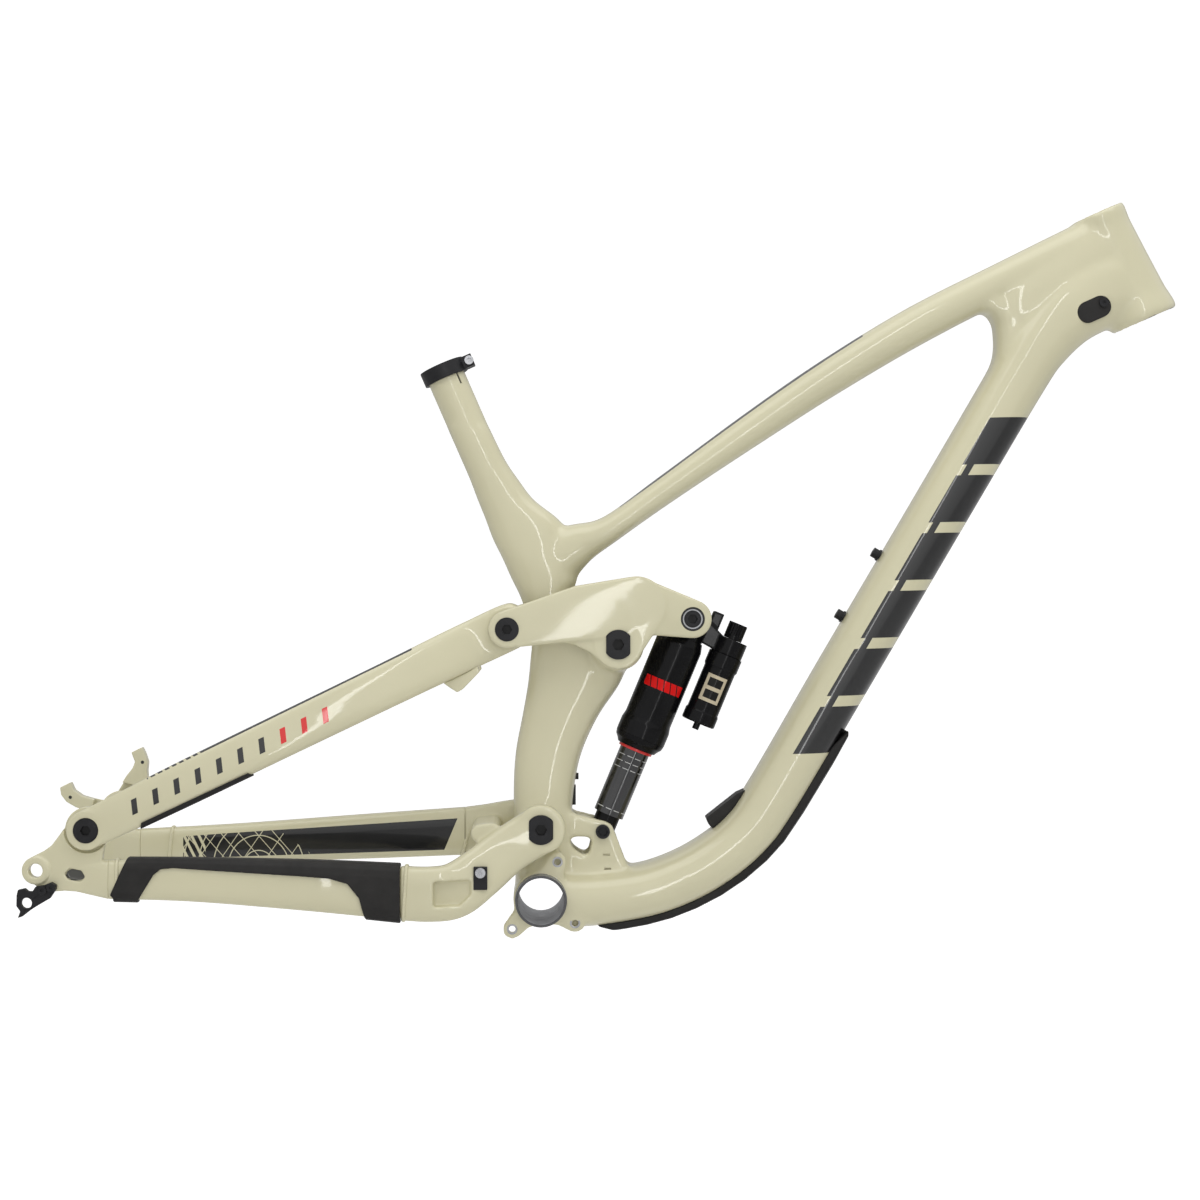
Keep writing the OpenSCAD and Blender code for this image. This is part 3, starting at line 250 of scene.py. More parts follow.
RIGHT_ARM = [
    (RIGHT_JOINT_X, 8.7, -53, 47.5, 20),
    (-98, 7.6, -53, 48.3, 20),
    (-76, 10.5, -51, 48.5, 20),
    (-54.5, 24.5, -46.5, 45, 19),
    (-29.5, 44.5, -40.5, 42, 17.7),
    (0, 63, -YOKE_MID, 43, 17.7),
]
LEFT_ARM = [
    (LEFT_JOINT_X, 52.3, 47.5, 44, 18.5),
    (-50, 55.2, 43.5, 44, 18),
    (-24, 60, 38.5, 44, 17.7),
    (0, 63, YOKE_MID, 43, 17.7),
]
STAY_DIR = (UPPER - LOWER).normalized()
STAY_UP = Vector((-STAY_DIR.y, STAY_DIR.x))


def on_stay(share, y, depth, width, up=0.0):
    """A station that share of the way up the seatstay."""
    p = LOWER.lerp(UPPER, share)
    return (p.x, p.y + up, y, depth, width)


END_MID = (STAY_END_IN + STAY_END_OUT) / 2
LOBE_MID = (LOBE_IN + LOBE_OUT) / 2
SEATSTAY = [
    on_stay(0, LOBE_MID, 34.4, 7.7),
    on_stay(0.055, LOBE_MID, 34.8, 7.7),
    on_stay(0.11, 82.3, 35.6, 10),
    on_stay(0.24, 77, 37.5, 15, 0.5),
    on_stay(0.48, 64.5, 38.5, 17, 1),
    on_stay(0.72, 49, 39.6, 16, 1.3),
    on_stay(0.86, 37.5, 41, 14, 1.6),
    on_stay(0.93, END_MID, 41.5, 12, 1.4),
    on_stay(1, END_MID, 41.4, 12, 1.2),
    on_stay(1.03, END_MID, 37, 12, 0.4),
    on_stay(1.045, (STAY_END_IN + STAY_TIP_OUT) / 2, 27, STAY_TIP_OUT - STAY_END_IN, 0.4),
]


# ---------------------------------------------------------------- mesh tools
def in_space(p):
    """A side-view point or direction as a 3D one."""
    return tuple(p) if len(p) == 3 else (p[0], 0, p[1])


def way(degrees):
    """Side-view direction that many degrees above forward."""
    return Vector((math.cos(math.radians(degrees)), math.sin(math.radians(degrees))))


def circle(sides):
    """(Cosine, sine) of even steps round a circle."""
    return [(math.cos(2 * math.pi * k / sides), math.sin(2 * math.pi * k / sides)) for k in range(sides)]


def both_sides(y0, y1):
    """The depths y0 to y1, and the same on the drive side."""
    return (y0, y1), (-y1, -y0)


def curve_at(p, i, t):
    """Catmull-Rom point between stations i and i + 1."""
    a, b = p[max(i - 1, 0)], p[i]
    c, d = p[i + 1], p[min(i + 2, len(p) - 1)]
    return tuple(
        0.5 * (2 * b[k] + (c[k] - a[k]) * t + (2 * a[k] - 5 * b[k] + 4 * c[k] - d[k]) * t * t
               + (3 * b[k] - a[k] - 3 * c[k] + d[k]) * t * t * t)
        for k in range(len(b)))


def smooth_path(stations, steps):
    path = [curve_at(stations, i, s / steps) for i in range(len(stations) - 1) for s in range(steps)]
    return path + [tuple(stations[-1])]


def heading(path, i):
    a, b = path[max(i - 1, 0)], path[min(i + 1, len(path) - 1)]
    return math.atan2(b[1] - a[1], b[0] - a[0])


def bulge(c, power):
    return math.copysign(abs(c) ** (2 / power), c)


def ring_points(c, turn, grow, power, sides):
    """Rounded-box section around station c, in its own plane."""
    points = []
    for cos, sin in circle(sides):
        across = (c[4] / 2 + grow) * bulge(cos, power)
        up = (c[3] / 2 + grow) * bulge(sin, power)
        points.append(Vector((c[0] - math.sin(turn) * up, c[2] + across, c[1] + math.cos(turn) * up)))
    return points


def add_rings(bm, rings, closed=False):
    """Faces between rings of points, with a cap at each end or closed on themselves."""
    made = [[bm.verts.new(p) for p in ring] for ring in rings]
    n = len(made[0])
    pairs = list(zip(made, made[1:])) + ([(made[-1], made[0])] if closed else [])
    for low, high in pairs:
        for k in range(n):
            bm.faces.new((low[k], high[k], high[(k + 1) % n], low[(k + 1) % n]))
    if not closed:
        bm.faces.new(made[0])
        bm.faces.new(made[-1][::-1])


def add_sweep(bm, stations, steps=8, power=STAY_POWER, turn=None, first=None, side=1):
    """Tube swept through the stations. turn holds all its sections, and first only the first one, at an
    angle. side=-1 mirrors it to the drive side."""
    path = smooth_path(stations, steps)
    rings = []
    for i, c in enumerate(path):
        angle = turn if turn is not None else first if first is not None and i == 0 else heading(path, i)
        rings.append([Vector((p.x, p.y * side, p.z)) for p in ring_points(c, angle, 0, power, SWEEP_SIDES)])
    add_rings(bm, rings)


def add_lathe(bm, origin, direction, profile, sides=96):
    """Solid of revolution: profile is [(distance along, radius)], from one end to the other."""
    origin = Vector(in_space(origin))
    turn = Vector((0, 0, 1)).rotation_difference(Vector(in_space(direction)).normalized()).to_matrix()
    add_rings(bm, [
        [origin + turn @ Vector((radius * cos, radius * sin, along)) for cos, sin in circle(sides)]
        for along, radius in profile])


def add_bar(bm, p, radius, y0, y1, sides=96):
    """Round bar along Y through the side-view point p."""
    add_lathe(bm, p, (0, 1, 0), [(y0, radius), (y1, radius)], sides)


def add_plate(bm, outline, y0, y1):
    """Side-view outline made solid between two depths."""
    add_rings(bm, [[(x, y, z) for x, z in outline] for y in (y0, y1)])


def circle_points(p, radius, y0, y1):
    steps = circle(48)
    return [Vector((p[0] + radius * cos, y, p[1] + radius * sin)) for y in (y0, y1) for cos, sin in steps]


def pour(part, bm):
    """Moves what is in part into bm."""
    mesh = bpy.data.meshes.new("part")
    part.to_mesh(mesh)
    part.free()
    bm.from_mesh(mesh)
    bpy.data.meshes.remove(mesh)


def add_hull(bm, points):
    """Convex solid around the points."""
    part = bmesh.new()
    for p in points:
        part.verts.new(p)
    made = bmesh.ops.convex_hull(part, input=part.verts)
    spare = {v for v in made["geom_interior"] + made["geom_unused"] if isinstance(v, bmesh.types.BMVert)}
    bmesh.ops.delete(part, geom=list(spare), context="VERTS")
    pour(part, bm)


def add_pill(bm, p, y0, y1):
    """Round plug of a pivot cap, with two upright flats."""
    add_plate(bm, [(p[0] + max(-CAP_FLAT, min(CAP_FLAT, CAP_R * cos)), p[1] + CAP_R * sin)
                   for cos, sin in circle(96)], y0, y1)


def mirrored(fill):
    """The same solid on the drive side."""
    def other(bm):
        part = bmesh.new()
        fill(part)
        bmesh.ops.scale(part, vec=(1, -1, 1), verts=part.verts)
        bmesh.ops.reverse_faces(part, faces=part.faces)
        pour(part, bm)
    return other


def in_scene(name, data):
    """A new object, linked to the scene."""
    obj = bpy.data.objects.new(name, data)
    bpy.context.scene.collection.objects.link(obj)
    return obj


def new_object(name, fill):
    """Object whose mesh is made by fill(bm), in millimetres, and scaled to metres."""
    bm = bmesh.new()
    fill(bm)
    bmesh.ops.recalc_face_normals(bm, faces=bm.faces)
    bmesh.ops.scale(bm, vec=(MM, MM, MM), verts=bm.verts)
    mesh = bpy.data.meshes.new(name)
    bm.to_mesh(mesh)
    bm.free()
    return in_scene(name, mesh)


def apply_modifiers(obj):
    """Turns the object's modifiers into plain mesh."""
    depsgraph = bpy.context.evaluated_depsgraph_get()
    mesh = bpy.data.meshes.new_from_object(obj.evaluated_get(depsgraph))
    old = obj.data
    obj.modifiers.clear()
    obj.data = mesh
    mesh.name = obj.name
    bpy.data.meshes.remove(old)


def cut(obj, cutters):
    """Cuts the solids made by each fill function from obj."""
    made = []
    for i, fill in enumerate(cutters):
        cutter = new_object(f"{obj.name}_cutter{i}", fill)
        mod = obj.modifiers.new("Cut", "BOOLEAN")
        mod.operation = "DIFFERENCE"
        mod.solver = "MANIFOLD"
        mod.object = cutter
        made.append(cutter)
    apply_modifiers(obj)
    for cutter in made:
        mesh = cutter.data
        bpy.data.objects.remove(cutter)
        bpy.data.meshes.remove(mesh)


def shade(obj, angle):
    """Smooth shading, with an edge where faces meet at more than the angle in degrees."""
    mesh = obj.data
    mesh.polygons.foreach_set("use_smooth", [True] * len(mesh.polygons))
    mesh.set_sharp_from_angle(angle=math.radians(angle))
    mesh.update()


def fuse(obj, voxel, rounds):
    """Remeshes obj into one skin and lets its creases melt together."""
    remesh = obj.modifiers.new("Fuse", "REMESH")
    remesh.mode = "VOXEL"
    remesh.voxel_size = voxel
    if rounds:
        soften = obj.modifiers.new("Soften", "SMOOTH")
        soften.factor = 0.5
        soften.iterations = rounds
    apply_modifiers(obj)


def moulded(name, fill, voxel, rounds, cutters, carve=()):
    """One continuous skin: solids fused, soft pockets carved before it is smoothed, bores cut crisp after."""
    obj = new_object(name, fill)
    if carve:
        fuse(obj, voxel, 0)
        cut(obj, carve)
    fuse(obj, voxel, rounds)
    cut(obj, cutters)
    return obj


def softened(node, voxel, rounds):
    """A CAD part made again as one piece with melted edges, as forged or moulded parts have."""
    obj = in_scene(f"{node}_soft", NODES[node].data.copy())
    obj.data.name = obj.name
    fuse(obj, voxel * MM, rounds)
    return obj


def add_ring(bm, p, outer, inner, y0, y1):
    """Flat ring round the side-view point p."""
    add_rings(bm, [
        [Vector((p[0] + radius * cos, y, p[1] + radius * sin)) for cos, sin in circle(64)]
        for radius, y in ((outer, y0), (outer, y1), (inner, y1), (inner, y0))], closed=True)


def even_points(loop, gap):
    """Points an even distance apart along a closed loop."""
    path = loop + loop[:1]
    spans = [(b - a).length for a, b in zip(path, path[1:])]
    count = round(sum(spans) / gap)
    points, i, start = [], 0, 0.0
    for k in range(count):
        goal = sum(spans) * k / count
        while i < len(spans) - 1 and start + spans[i] < goal:
            start += spans[i]
            i += 1
        points.append(path[i].lerp(path[i + 1], min(1.0, (goal - start) / max(spans[i], 1e-6))))
    return points


def add_bead(bm, loop, radius):
    """Weld bead along a loop round a chainstay: a thin roll with a scallop for each puddle."""
    points = even_points(loop, BEAD_STEP)
    across = Vector((1, 0, 0))
    rings = []
    for i, p in enumerate(points):
        out = (points[(i + 1) % len(points)] - points[i - 1]).normalized().cross(across)
        r = radius * (0.8 + 0.2 * abs(math.cos(math.pi * i * BEAD_STEP / BEAD_SCALLOP)))
        rings.append([p + r * (cos * across + 0.75 * sin * out) for cos, sin in circle(10)])
    add_rings(bm, rings, closed=True)


def finish_piece(obj, body, slot, material, *replaced, angle=32):
    """Shades the piece, gives it its material and hands it to the frame."""
    obj.data.materials.clear()
    obj.data.materials.append(MATERIALS[material])
    shade(obj, angle)
    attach(obj, body)
    if replaced:
        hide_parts(*replaced)


# ---------------------------------------------------------------- shader tools
class Value:
    """What a shader node gives at each point of a surface. Masks are 1 inside and 0 outside."""

    def __init__(self, shader, socket):
        self.shader = shader
        self.socket = socket

    def math(self, operation, *others, clamp=False):
        return self.shader.node("ShaderNodeMath", (self, *others), operation=operation, use_clamp=clamp)

    def __add__(self, other):
        return self.math("ADD", other)

    def __sub__(self, other):
        return self.math("SUBTRACT", other)

    def __mul__(self, other):
        return self.math("MULTIPLY", other)

    def __truediv__(self, other):
        return self.math("DIVIDE", other)

    def __mod__(self, other):
        return self.math("FLOORED_MODULO", other)

    def __abs__(self):
        return self.math("ABSOLUTE")

    def __gt__(self, other):
        return self.math("GREATER_THAN", other)

    def __lt__(self, other):
        return self.math("LESS_THAN", other)

    def __or__(self, other):
        return self.math("MAXIMUM", other)

    __and__ = __mul__

    def between(self, low, high):
        return (self > low) & (self < high)

    def span(self, low, high, to_low=0.0, to_high=1.0):
        return self.shader.node("ShaderNodeMapRange", (self, low, high, to_low, to_high))


def either(masks):
    return functools.reduce(lambda a, b: a | b, masks)


class Shader:
    """Short calls for building one material's nodes. Places and distances are millimetres."""

    def __init__(self, name):
        self.material = bpy.data.materials.new(name)
        self.material.use_nodes = True
        self.nodes = self.material.node_tree.nodes
        self.bsdf = self.nodes["Principled BSDF"]
        self.place = self.node("ShaderNodeTexCoord", (), "Object")

    def link(self, value, socket):
        if isinstance(value, Value):
            self.material.node_tree.links.new(value.socket, socket)
        else:
            socket.default_value = value

    def node(self, kind, inputs, output=0, **settings):
        """One output of a new node. Its inputs are given in order, or as {name or number: value}."""
        node = self.nodes.new(kind)
        for key, value in settings.items():
            setattr(node, key, value)
        for key, value in (inputs if isinstance(inputs, dict) else dict(enumerate(inputs))).items():
            self.link(value, node.inputs[key])
        return Value(self, node.outputs[output])

    def mix(self, share, a, b):
        return self.node("ShaderNodeMix", {0: share, 6: a, 7: b}, 2, data_type="RGBA")

    def noise(self, scale, detail, rough=0.55):
        return self.node("ShaderNodeTexNoise", {
            "Vector": self.place, "Scale": scale, "Detail": detail, "Roughness": rough}, "Fac")

    def bump(self, height, strength, distance):
        """Relief, with its depth in metres."""
        return self.node("ShaderNodeBump", {"Height": height, "Strength": strength, "Distance": distance})

    def mottled(self, base, low, high, scale, detail, start=0.3):
        """A colour that drifts between two strengths."""
        return self.mix(self.noise(scale, detail).span(start, 0.7), scaled(base, low), scaled(base, high))

    def uneven(self, scale, detail, low, high):
        """A roughness that drifts between two values."""
        return self.noise(scale, detail).span(0.3, 0.7, low, high)

    def grain(self, scale, detail, strength, distance):
        return self.bump(self.noise(scale, detail), strength, distance)

    def measured(self, operation, origin, direction):
        away = self.node("ShaderNodeVectorMath", (self.place, [MM * v for v in in_space(origin)]),
                         operation="SUBTRACT")
        return self.node("ShaderNodeVectorMath", (away, in_space(direction)),
                         "Value" if operation == "DOT_PRODUCT" else 0, operation=operation)

    def along(self, origin, direction):
        """Distance from origin along a direction."""
        return self.measured("DOT_PRODUCT", origin, direction) * (1 / MM)

    def radius(self, origin, direction=(0, 1, 0)):
        """Distance from a line, which runs across the frame if no direction is given."""
        across = self.measured("CROSS_PRODUCT", origin, direction)
        return self.node("ShaderNodeVectorMath", (across,), "Value", operation="LENGTH") * (1 / MM)

    def axis(self, k):
        """X, Y or Z for 0, 1 or 2."""
        return self.along((0, 0, 0), [int(i == k) for i in range(3)])

    def shine(self, **values):
        """Values that are the same all over go straight on the shader."""
        for key, value in values.items():
            self.bsdf.inputs[key.replace("_", " ")].default_value = value

    def done(self, colour, rough, normal=None):
        self.link(colour, self.bsdf.inputs["Base Color"])
        self.link(rough, self.bsdf.inputs["Roughness"])
        if normal is not None:
            self.link(normal, self.bsdf.inputs["Normal"])


def linear(colour):
    """sRGB 0-255 to the linear values that a shader takes."""
    shares = [c / 255 for c in colour]
    return tuple(c / 12.92 if c <= 0.04045 else ((c + 0.055) / 1.055) ** 2.4 for c in shares) + (1.0,)


def scaled(colour, factor):
    return tuple(min(1.0, c * factor) for c in colour[:3]) + (1.0,)


MATERIALS = {}


def paint_base(shader, colours):
    """Clear-coated paint: slight drift of tone, fine flake, and orange peel under the lacquer."""
    tone = shader.mottled(colours.paint, 0.965, 1.03, 7, 2)
    flake = shader.noise(2600, 1).span(0.35, 0.65)
    tone = shader.mix(flake * 0.10, tone, scaled(colours.paint, 1.25))
    shader.shine(
        Coat_Weight=0.6, Coat_Roughness=0.045, Coat_IOR=1.5, IOR=1.46, Specular_IOR_Level=0.4, Metallic=0.0)
    return tone, shader.noise(45, 5).span(0.3, 0.75, 0.30, 0.40), shader.grain(420, 2, 0.045, 0.0004)


def paint_plain(shader, colours):
    shader.done(*paint_base(shader, colours))


def paint_front(shader, colours):
    """Paint of the front triangle, with a band of slanted blocks on the down tube, a dark strip on the
    top tube and bare metal inside the bores."""
    tone, rough, peel = paint_base(shader, colours)
    black = shader.mix(shader.noise(900, 2), linear((8, 8, 9)), linear((15, 15, 16)))

    # Slanted blocks, on both sides of the down tube.
    start, pitch, gap, count = 44, 59.5, 11, 6
    end = start + count * pitch
    v = shader.along(DOWN_LOW, DOWN_UP)
    slid = shader.along(DOWN_LOW, DOWN_DIR) + v * 0.62
    blocks = slid.between(start, end - gap) & ((slid - start) % pitch < pitch - gap) & v.between(-26.5, 7)
    spine = slid.between(60, end - 26) & v.between(-2, 3.5)
    band = (blocks | spine) & (abs(shader.axis(1)) > 7)

    # Dark strip along the top of the top tube, towards its low end.
    span = TOP_HIGH - TOP_LOW
    share = shader.along((TOP_LOW.x, 0, 0), (1, 0, 0)) / span.x
    arch = (share.math("POWER", ARCH_POWER, clamp=True) * math.pi).math("SINE") * TOP_ARCH
    over = shader.along((0, 0, TOP_LOW.y), (0, 0, 1)) - share * span.y - arch
    strip = share.between(0.02, 0.51) & (over > share.span(0.1, 0.55, 13.2, 17.9))
    tone = shader.mix(band | strip, tone, black)

    # Bare bores.
    off, run = shader.radius(HEAD_LOW, HEAD_AXIS), shader.along(HEAD_LOW, HEAD_AXIS)
    head = ((off < HEADSET_LOW_R + 0.15) & (run < HEADSET_DEPTH + 0.2)
            | (off < STEERER_LOW_R + 0.2) & (run < HEAD_LEN - 30) | (off < HEADSET_TOP_R + 0.2))
    post = ((shader.radius(SEAT_TOP, SEAT_AXIS) < POST_D / 2 + 0.2)
            & (shader.along(SEAT_TOP, SEAT_AXIS) > -POST_DEPTH - 3))
    sleeve = shader.radius(BB) < SLEEVE_R + 0.3
    metal = shader.mix(shader.noise(300, 4), linear((70, 70, 72)), linear((112, 112, 114)))
    shader.done(shader.mix(head | post | sleeve, tone, metal), rough, peel)


def paint_stay(shader, colours):
    """Paint of the seatstays, with a row of slanted dashes on the outer face and a strip of painted shade on
    top, drawn as a black hatched panel.
    """
    tone, rough, peel = paint_base(shader, colours)
    y = shader.axis(1)
    u, v = shader.along(LOWER, STAY_DIR), shader.along(LOWER, STAY_UP)
    slid = u - v * 0.34
    start, pitch = 44, 20
    marks = slid.between(start, 242) & ((slid - start) % pitch < 5.2) & v.between(-5.5, 7) & (abs(y) > 40)
    tone = shader.mix(marks, tone, shader.mix(slid > 180, linear((14, 14, 15)), colours.accent))
    # Painted shade: a black strip along the stays' tops stands in for the shade line at their top edges,
    # hatched at its rear end.
    hatch = (u > 118) | ((u + y * 0.5) % 7 < 4.4)
    strip = (v > u.span(66, 320, 17, 19.6)) & u.between(66, 318) & hatch
    shader.done(shader.mix(strip, tone, linear((18, 18, 20))), rough, peel)


def paint_panel(shader, colours):
    """Paint of the left chainstay: a black panel that breaks up into crossed lines towards the rear."""
    tone, rough, peel = paint_base(shader, colours)
    x, y, z = (shader.axis(k) for k in range(3))
    rise = z - x * 0.062                # height off the tube's own line
    panel = (abs(rise - 55) < x.span(-332, -76, 10.5, 14.3)) & (x - z * 0.42 < -103.7) & (x > -333) & (y < 79)
    lines = [(x < -312) & ((x + z * 0.5) % 7 > 4.2), shader.radius((-262, 18)) % 14 < 0.9]
    lines += [(x + z * lean) % pitch < width for lean, pitch, width in ((0.9, 17, 0.9), (-0.7, 21, 0.8))]
    drawn = either(lines) & (x < rise.span(44, 66, -214, -242))
    black = shader.mix(shader.noise(600, 2), linear((5, 5, 6)), linear((11, 11, 12)))
    shader.done(shader.mix(panel & (drawn < 0.5), tone, black), rough, peel)


def paint_mount(shader, colours):
    """Paint of the brake mount and right dropout: dark barrel nuts, and shade in the oval pocket."""
    tone, rough, peel = paint_base(shader, colours)
    nuts = either(shader.radius(p) < 1.6 for p in ((-372, 113.3), (-439.4, 80.6)))
    tone = shader.mix(nuts, tone, linear((24, 24, 25)))
    x, y, z = (shader.axis(k) for k in range(3))
    u, v = (x + 401.3) / 9, (z - 28.4) / 5.2
    pocket = (u * u + v * v < 1) & y.between(-DROP_OUT + 0.8, -DROP_IN)
    shader.done(shader.mix(pocket, tone, linear((74, 74, 68))), rough, peel)


def guard_rubber(shader, colours):
    """Moulded rubber: fine stipple and a faint chalky bloom."""
    bloom = shader.noise(28, 6, 0.6).span(0.35, 0.75)
    tone = shader.mix(bloom, scaled(colours.rubber, 0.85), scaled(colours.rubber, 1.35))
    shader.shine(IOR=1.5, Specular_IOR_Level=0.2)
    shader.done(tone, shader.uneven(120, 4, 0.48, 0.62), shader.grain(1500, 3, 0.22, 0.0003))


def black_metal(shader, colours):
    """Black anodised bolts and caps, with painted shade inside their sockets."""
    depth = abs(shader.axis(1))
    # Painted shade: the inside of each cap's and bolt's socket is coloured near-black.
    socket_shade = either((shader.radius(p) < r) & (depth < face) for p, r, face in (
        (MAIN, 6.4, YOKE_OUT + 0.2), (ROCK, 6.4, ROCKER_OUT + 0.2), (UPPER, 5.2, TAIL_OUT + 0.2),
        (LOWER, 5.2, LOBE_OUT + 0.2), (TRUNNION, 4.2, NOSE_OUT - 0.8)))
    tone = shader.mix(socket_shade, shader.mottled(colours.black, 0.8, 1.4, 90, 5), scaled(colours.black, 0.05))
    shader.shine(Metallic=0.0, Specular_IOR_Level=0.22, Coat_Weight=0.04, Coat_Roughness=0.25)
    shader.done(tone, shader.uneven(260, 4, 0.36, 0.50), shader.grain(2200, 2, 0.10, 0.0002))


def shock_base(shader, colours):
    """Deep gloss black: its tone, its roughness, and distances along the shock and towards the rear."""
    shader.shine(IOR=1.5, Specular_IOR_Level=0.08, Coat_Weight=0.10, Coat_Roughness=0.05)
    return (shader.mottled(colours.black, 0.3, 0.6, 60, 4), shader.uneven(140, 4, 0.16, 0.25),
            shader.along(TRUNNION, SHOCK_AXIS), shader.along(TRUNNION, SHOCK_SIDE))


def gloss_black(shader, colours):
    """The shock's forged and coated parts, with faint machining rings."""
    tone, rough, u, _ = shock_base(shader, colours)
    shader.done(tone, rough, shader.bump((u * 9).math("SINE"), 0.05, 0.00004))


def can_black(shader, colours):
    """The air can: gloss black with a broken red band round it."""
    tone, rough, u, v = shock_base(shader, colours)
    band = u.between(60, 69.5) & ((v + u * 0.3) % 6.2 > 0.9) & v.between(-17, 17)
    shader.done(shader.mix(band, tone, colours.accent), rough, shader.grain(500, 2, 0.03, 0.0002))


def reservoir_black(shader, colours):
    """The reservoir: gloss black with a plain pale plate that carries two dark bars."""
    tone, rough, u, v = shock_base(shader, colours)
    plate = u.between(38, 63) & v.between(-51.5, -33.5) & (shader.axis(1) < -6)
    bars = plate & v.between(-49, -36) & (u.between(41, 48.8) | u.between(52.2, 60))
    tone = shader.mix(bars, shader.mix(plate, tone, linear((196, 184, 158))), linear((30, 29, 28)))
    shader.done(tone, rough, shader.grain(500, 2, 0.03, 0.0002))


def shaft_black(shader, colours):
    """The coated shaft: near-mirror black with rows of short pale ticks."""
    u, v = shader.along(TRUNNION, SHOCK_AXIS), shader.along(TRUNNION, SHOCK_SIDE)
    rows = either(u.between(low, high) for low, high in (
        (134.6, 135.2), (140.4, 141), (146.2, 146.8), (184.6, 185.3)))
    ticks = rows & (v % 7.4 < 5.2) & (shader.axis(1) < 0)
    tone = shader.mix(ticks, shader.mottled(colours.black, 0.6, 1.0, 40, 3), linear((190, 190, 188)))
    shader.shine(IOR=1.5, Specular_IOR_Level=0.5, Coat_Weight=0.5, Coat_Roughness=0.03)
    shader.done(tone, shader.uneven(200, 4, 0.07, 0.13), shader.grain(800, 2, 0.02, 0.0001))


def bearing_ring(shader, colours):
    """Sealed bearing: black faces with one bright ring between the races."""
    tone = shader.mix(shader.noise(300, 3), scaled(colours.black, 0.5), scaled(colours.black, 0.9))
    tone = shader.mix(shader.radius(TRUNNION).between(7.7, 8.7), tone, colours.metal)
    shader.shine(Specular_IOR_Level=0.35)
    shader.done(tone, shader.uneven(500, 3, 0.30, 0.42), shader.grain(1500, 2, 0.08, 0.0001))


def red_metal(shader, colours):
    tone = shader.mix(shader.noise(150, 4), scaled(colours.accent, 0.8), scaled(colours.accent, 1.15))
    shader.shine(IOR=1.5, Coat_Weight=0.3, Coat_Roughness=0.2)
    shader.done(tone, shader.uneven(300, 3, 0.28, 0.4), shader.grain(900, 2, 0.05, 0.0002))


def ground_steel(shader, colours):
    """Ground bearing steel with small stains."""
    tone = shader.mottled(colours.metal, 0.8, 1.1, 220, 5, 0.35)
    shader.shine(Metallic=0.9, IOR=2.0)
    shader.done(tone, shader.uneven(700, 3, 0.22, 0.36), shader.grain(1800, 2, 0.08, 0.0001))


def bare_alloy(shader, colours):
    """Bare machined alloy: cut rings, and a dark rim on the bottom bracket's sleeve."""
    y = shader.axis(1)
    rim = (abs(y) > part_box("bb_shell")[1][1] / MM - 0.3) & shader.radius(BB).between(19, 24)
    tone = shader.mix(rim, shader.mottled(colours.metal, 0.62, 0.9, 120, 5), scaled(colours.metal, 0.16))
    shader.shine(Metallic=0.75, IOR=1.9)
    shader.done(tone, shader.uneven(260, 4, 0.38, 0.55), shader.bump((y * 12).math("SINE"), 0.12, 0.00005))


MAKERS = (
    paint_plain, paint_front, paint_stay, paint_panel, paint_mount, guard_rubber, black_metal, gloss_black,
    can_black, reservoir_black, shaft_black, bearing_ring, red_metal, ground_steel, bare_alloy,
)


# ---------------------------------------------------------------- settings
class FrameFinish(bpy.types.PropertyGroup):
    """Colours of the frame."""

    paint: FloatVectorProperty(
        name="Paint", description="Colour of the lacquered paint", subtype="COLOR", size=4,
        default=linear((205, 200, 168)), min=0, max=1)
    rubber: FloatVectorProperty(
        name="Rubber", description="Colour of the guards", subtype="COLOR", size=4,
        default=linear((36, 35, 34)), min=0, max=1)
    black: FloatVectorProperty(
        name="Black", description="Colour of the black metal parts", subtype="COLOR", size=4,
        default=linear((26, 26, 28)), min=0, max=1)
    accent: FloatVectorProperty(
        name="Accent", description="Colour of the red details", subtype="COLOR", size=4,
        default=linear((214, 20, 20)), min=0, max=1)
    metal: FloatVectorProperty(
        name="Metal", description="Colour of the bare metal", subtype="COLOR", size=4,
        default=linear((176, 177, 180)), min=0, max=1)


class FrameShape(bpy.types.PropertyGroup):
    """How finely the skins are made."""

    skin_voxel: FloatProperty(
        name="Skin voxel", description="Cell that the large skins are fused with", unit="LENGTH",
        default=0.0022, min=0.001, max=0.004)
    part_voxel: FloatProperty(
        name="Part voxel", description="Cell that the small skins are fused with", unit="LENGTH",
        default=0.0011, min=0.0007, max=0.003)
    skin_rounds: IntProperty(
        name="Skin rounds", description="How often the large skins are softened", default=17, min=0, max=40)
    part_rounds: IntProperty(
        name="Part rounds", description="How often the small skins are softened", default=10, min=0, max=40)
    edge: FloatProperty(
        name="Edge", description="Width of the broken edges on the hardware", unit="LENGTH",
        default=0.0004, min=0.0001, max=0.001)
    bead: FloatProperty(
        name="Weld bead", description="Radius of the weld beads", unit="LENGTH",
        default=0.0019, min=0.001, max=0.004)


class FrameStudio(bpy.types.PropertyGroup):
    """Camera and lights."""

    distance: FloatProperty(
        name="Distance", description="From the camera to the frame's middle plane", unit="LENGTH",
        default=2.0, min=1, max=6)
    height: FloatProperty(
        name="Height", description="Height of the camera over the bottom bracket", unit="LENGTH",
        default=0.275, min=-1, max=2)
    focal: FloatProperty(
        name="Focal length", description="In pixels of the photograph", default=2222, min=500, max=6000)
    floor: FloatProperty(
        name="Floor", description="Height of the floor under the bottom bracket", unit="LENGTH",
        default=-0.345, min=-1, max=0)
    sky: FloatProperty(
        name="Sky", description="Strength of the white surroundings", default=0.50, min=0, max=3)
    key: FloatProperty(
        name="Key", description="Power of the overhead light in watts", default=33, min=0, max=400)
    fill: FloatProperty(
        name="Fill", description="Power of the front light in watts", default=5.5, min=0, max=400)
    strip: FloatProperty(
        name="Strip", description="Power of the narrow light in watts", default=7, min=0, max=100)


def shape():
    return bpy.context.scene.frame_shape


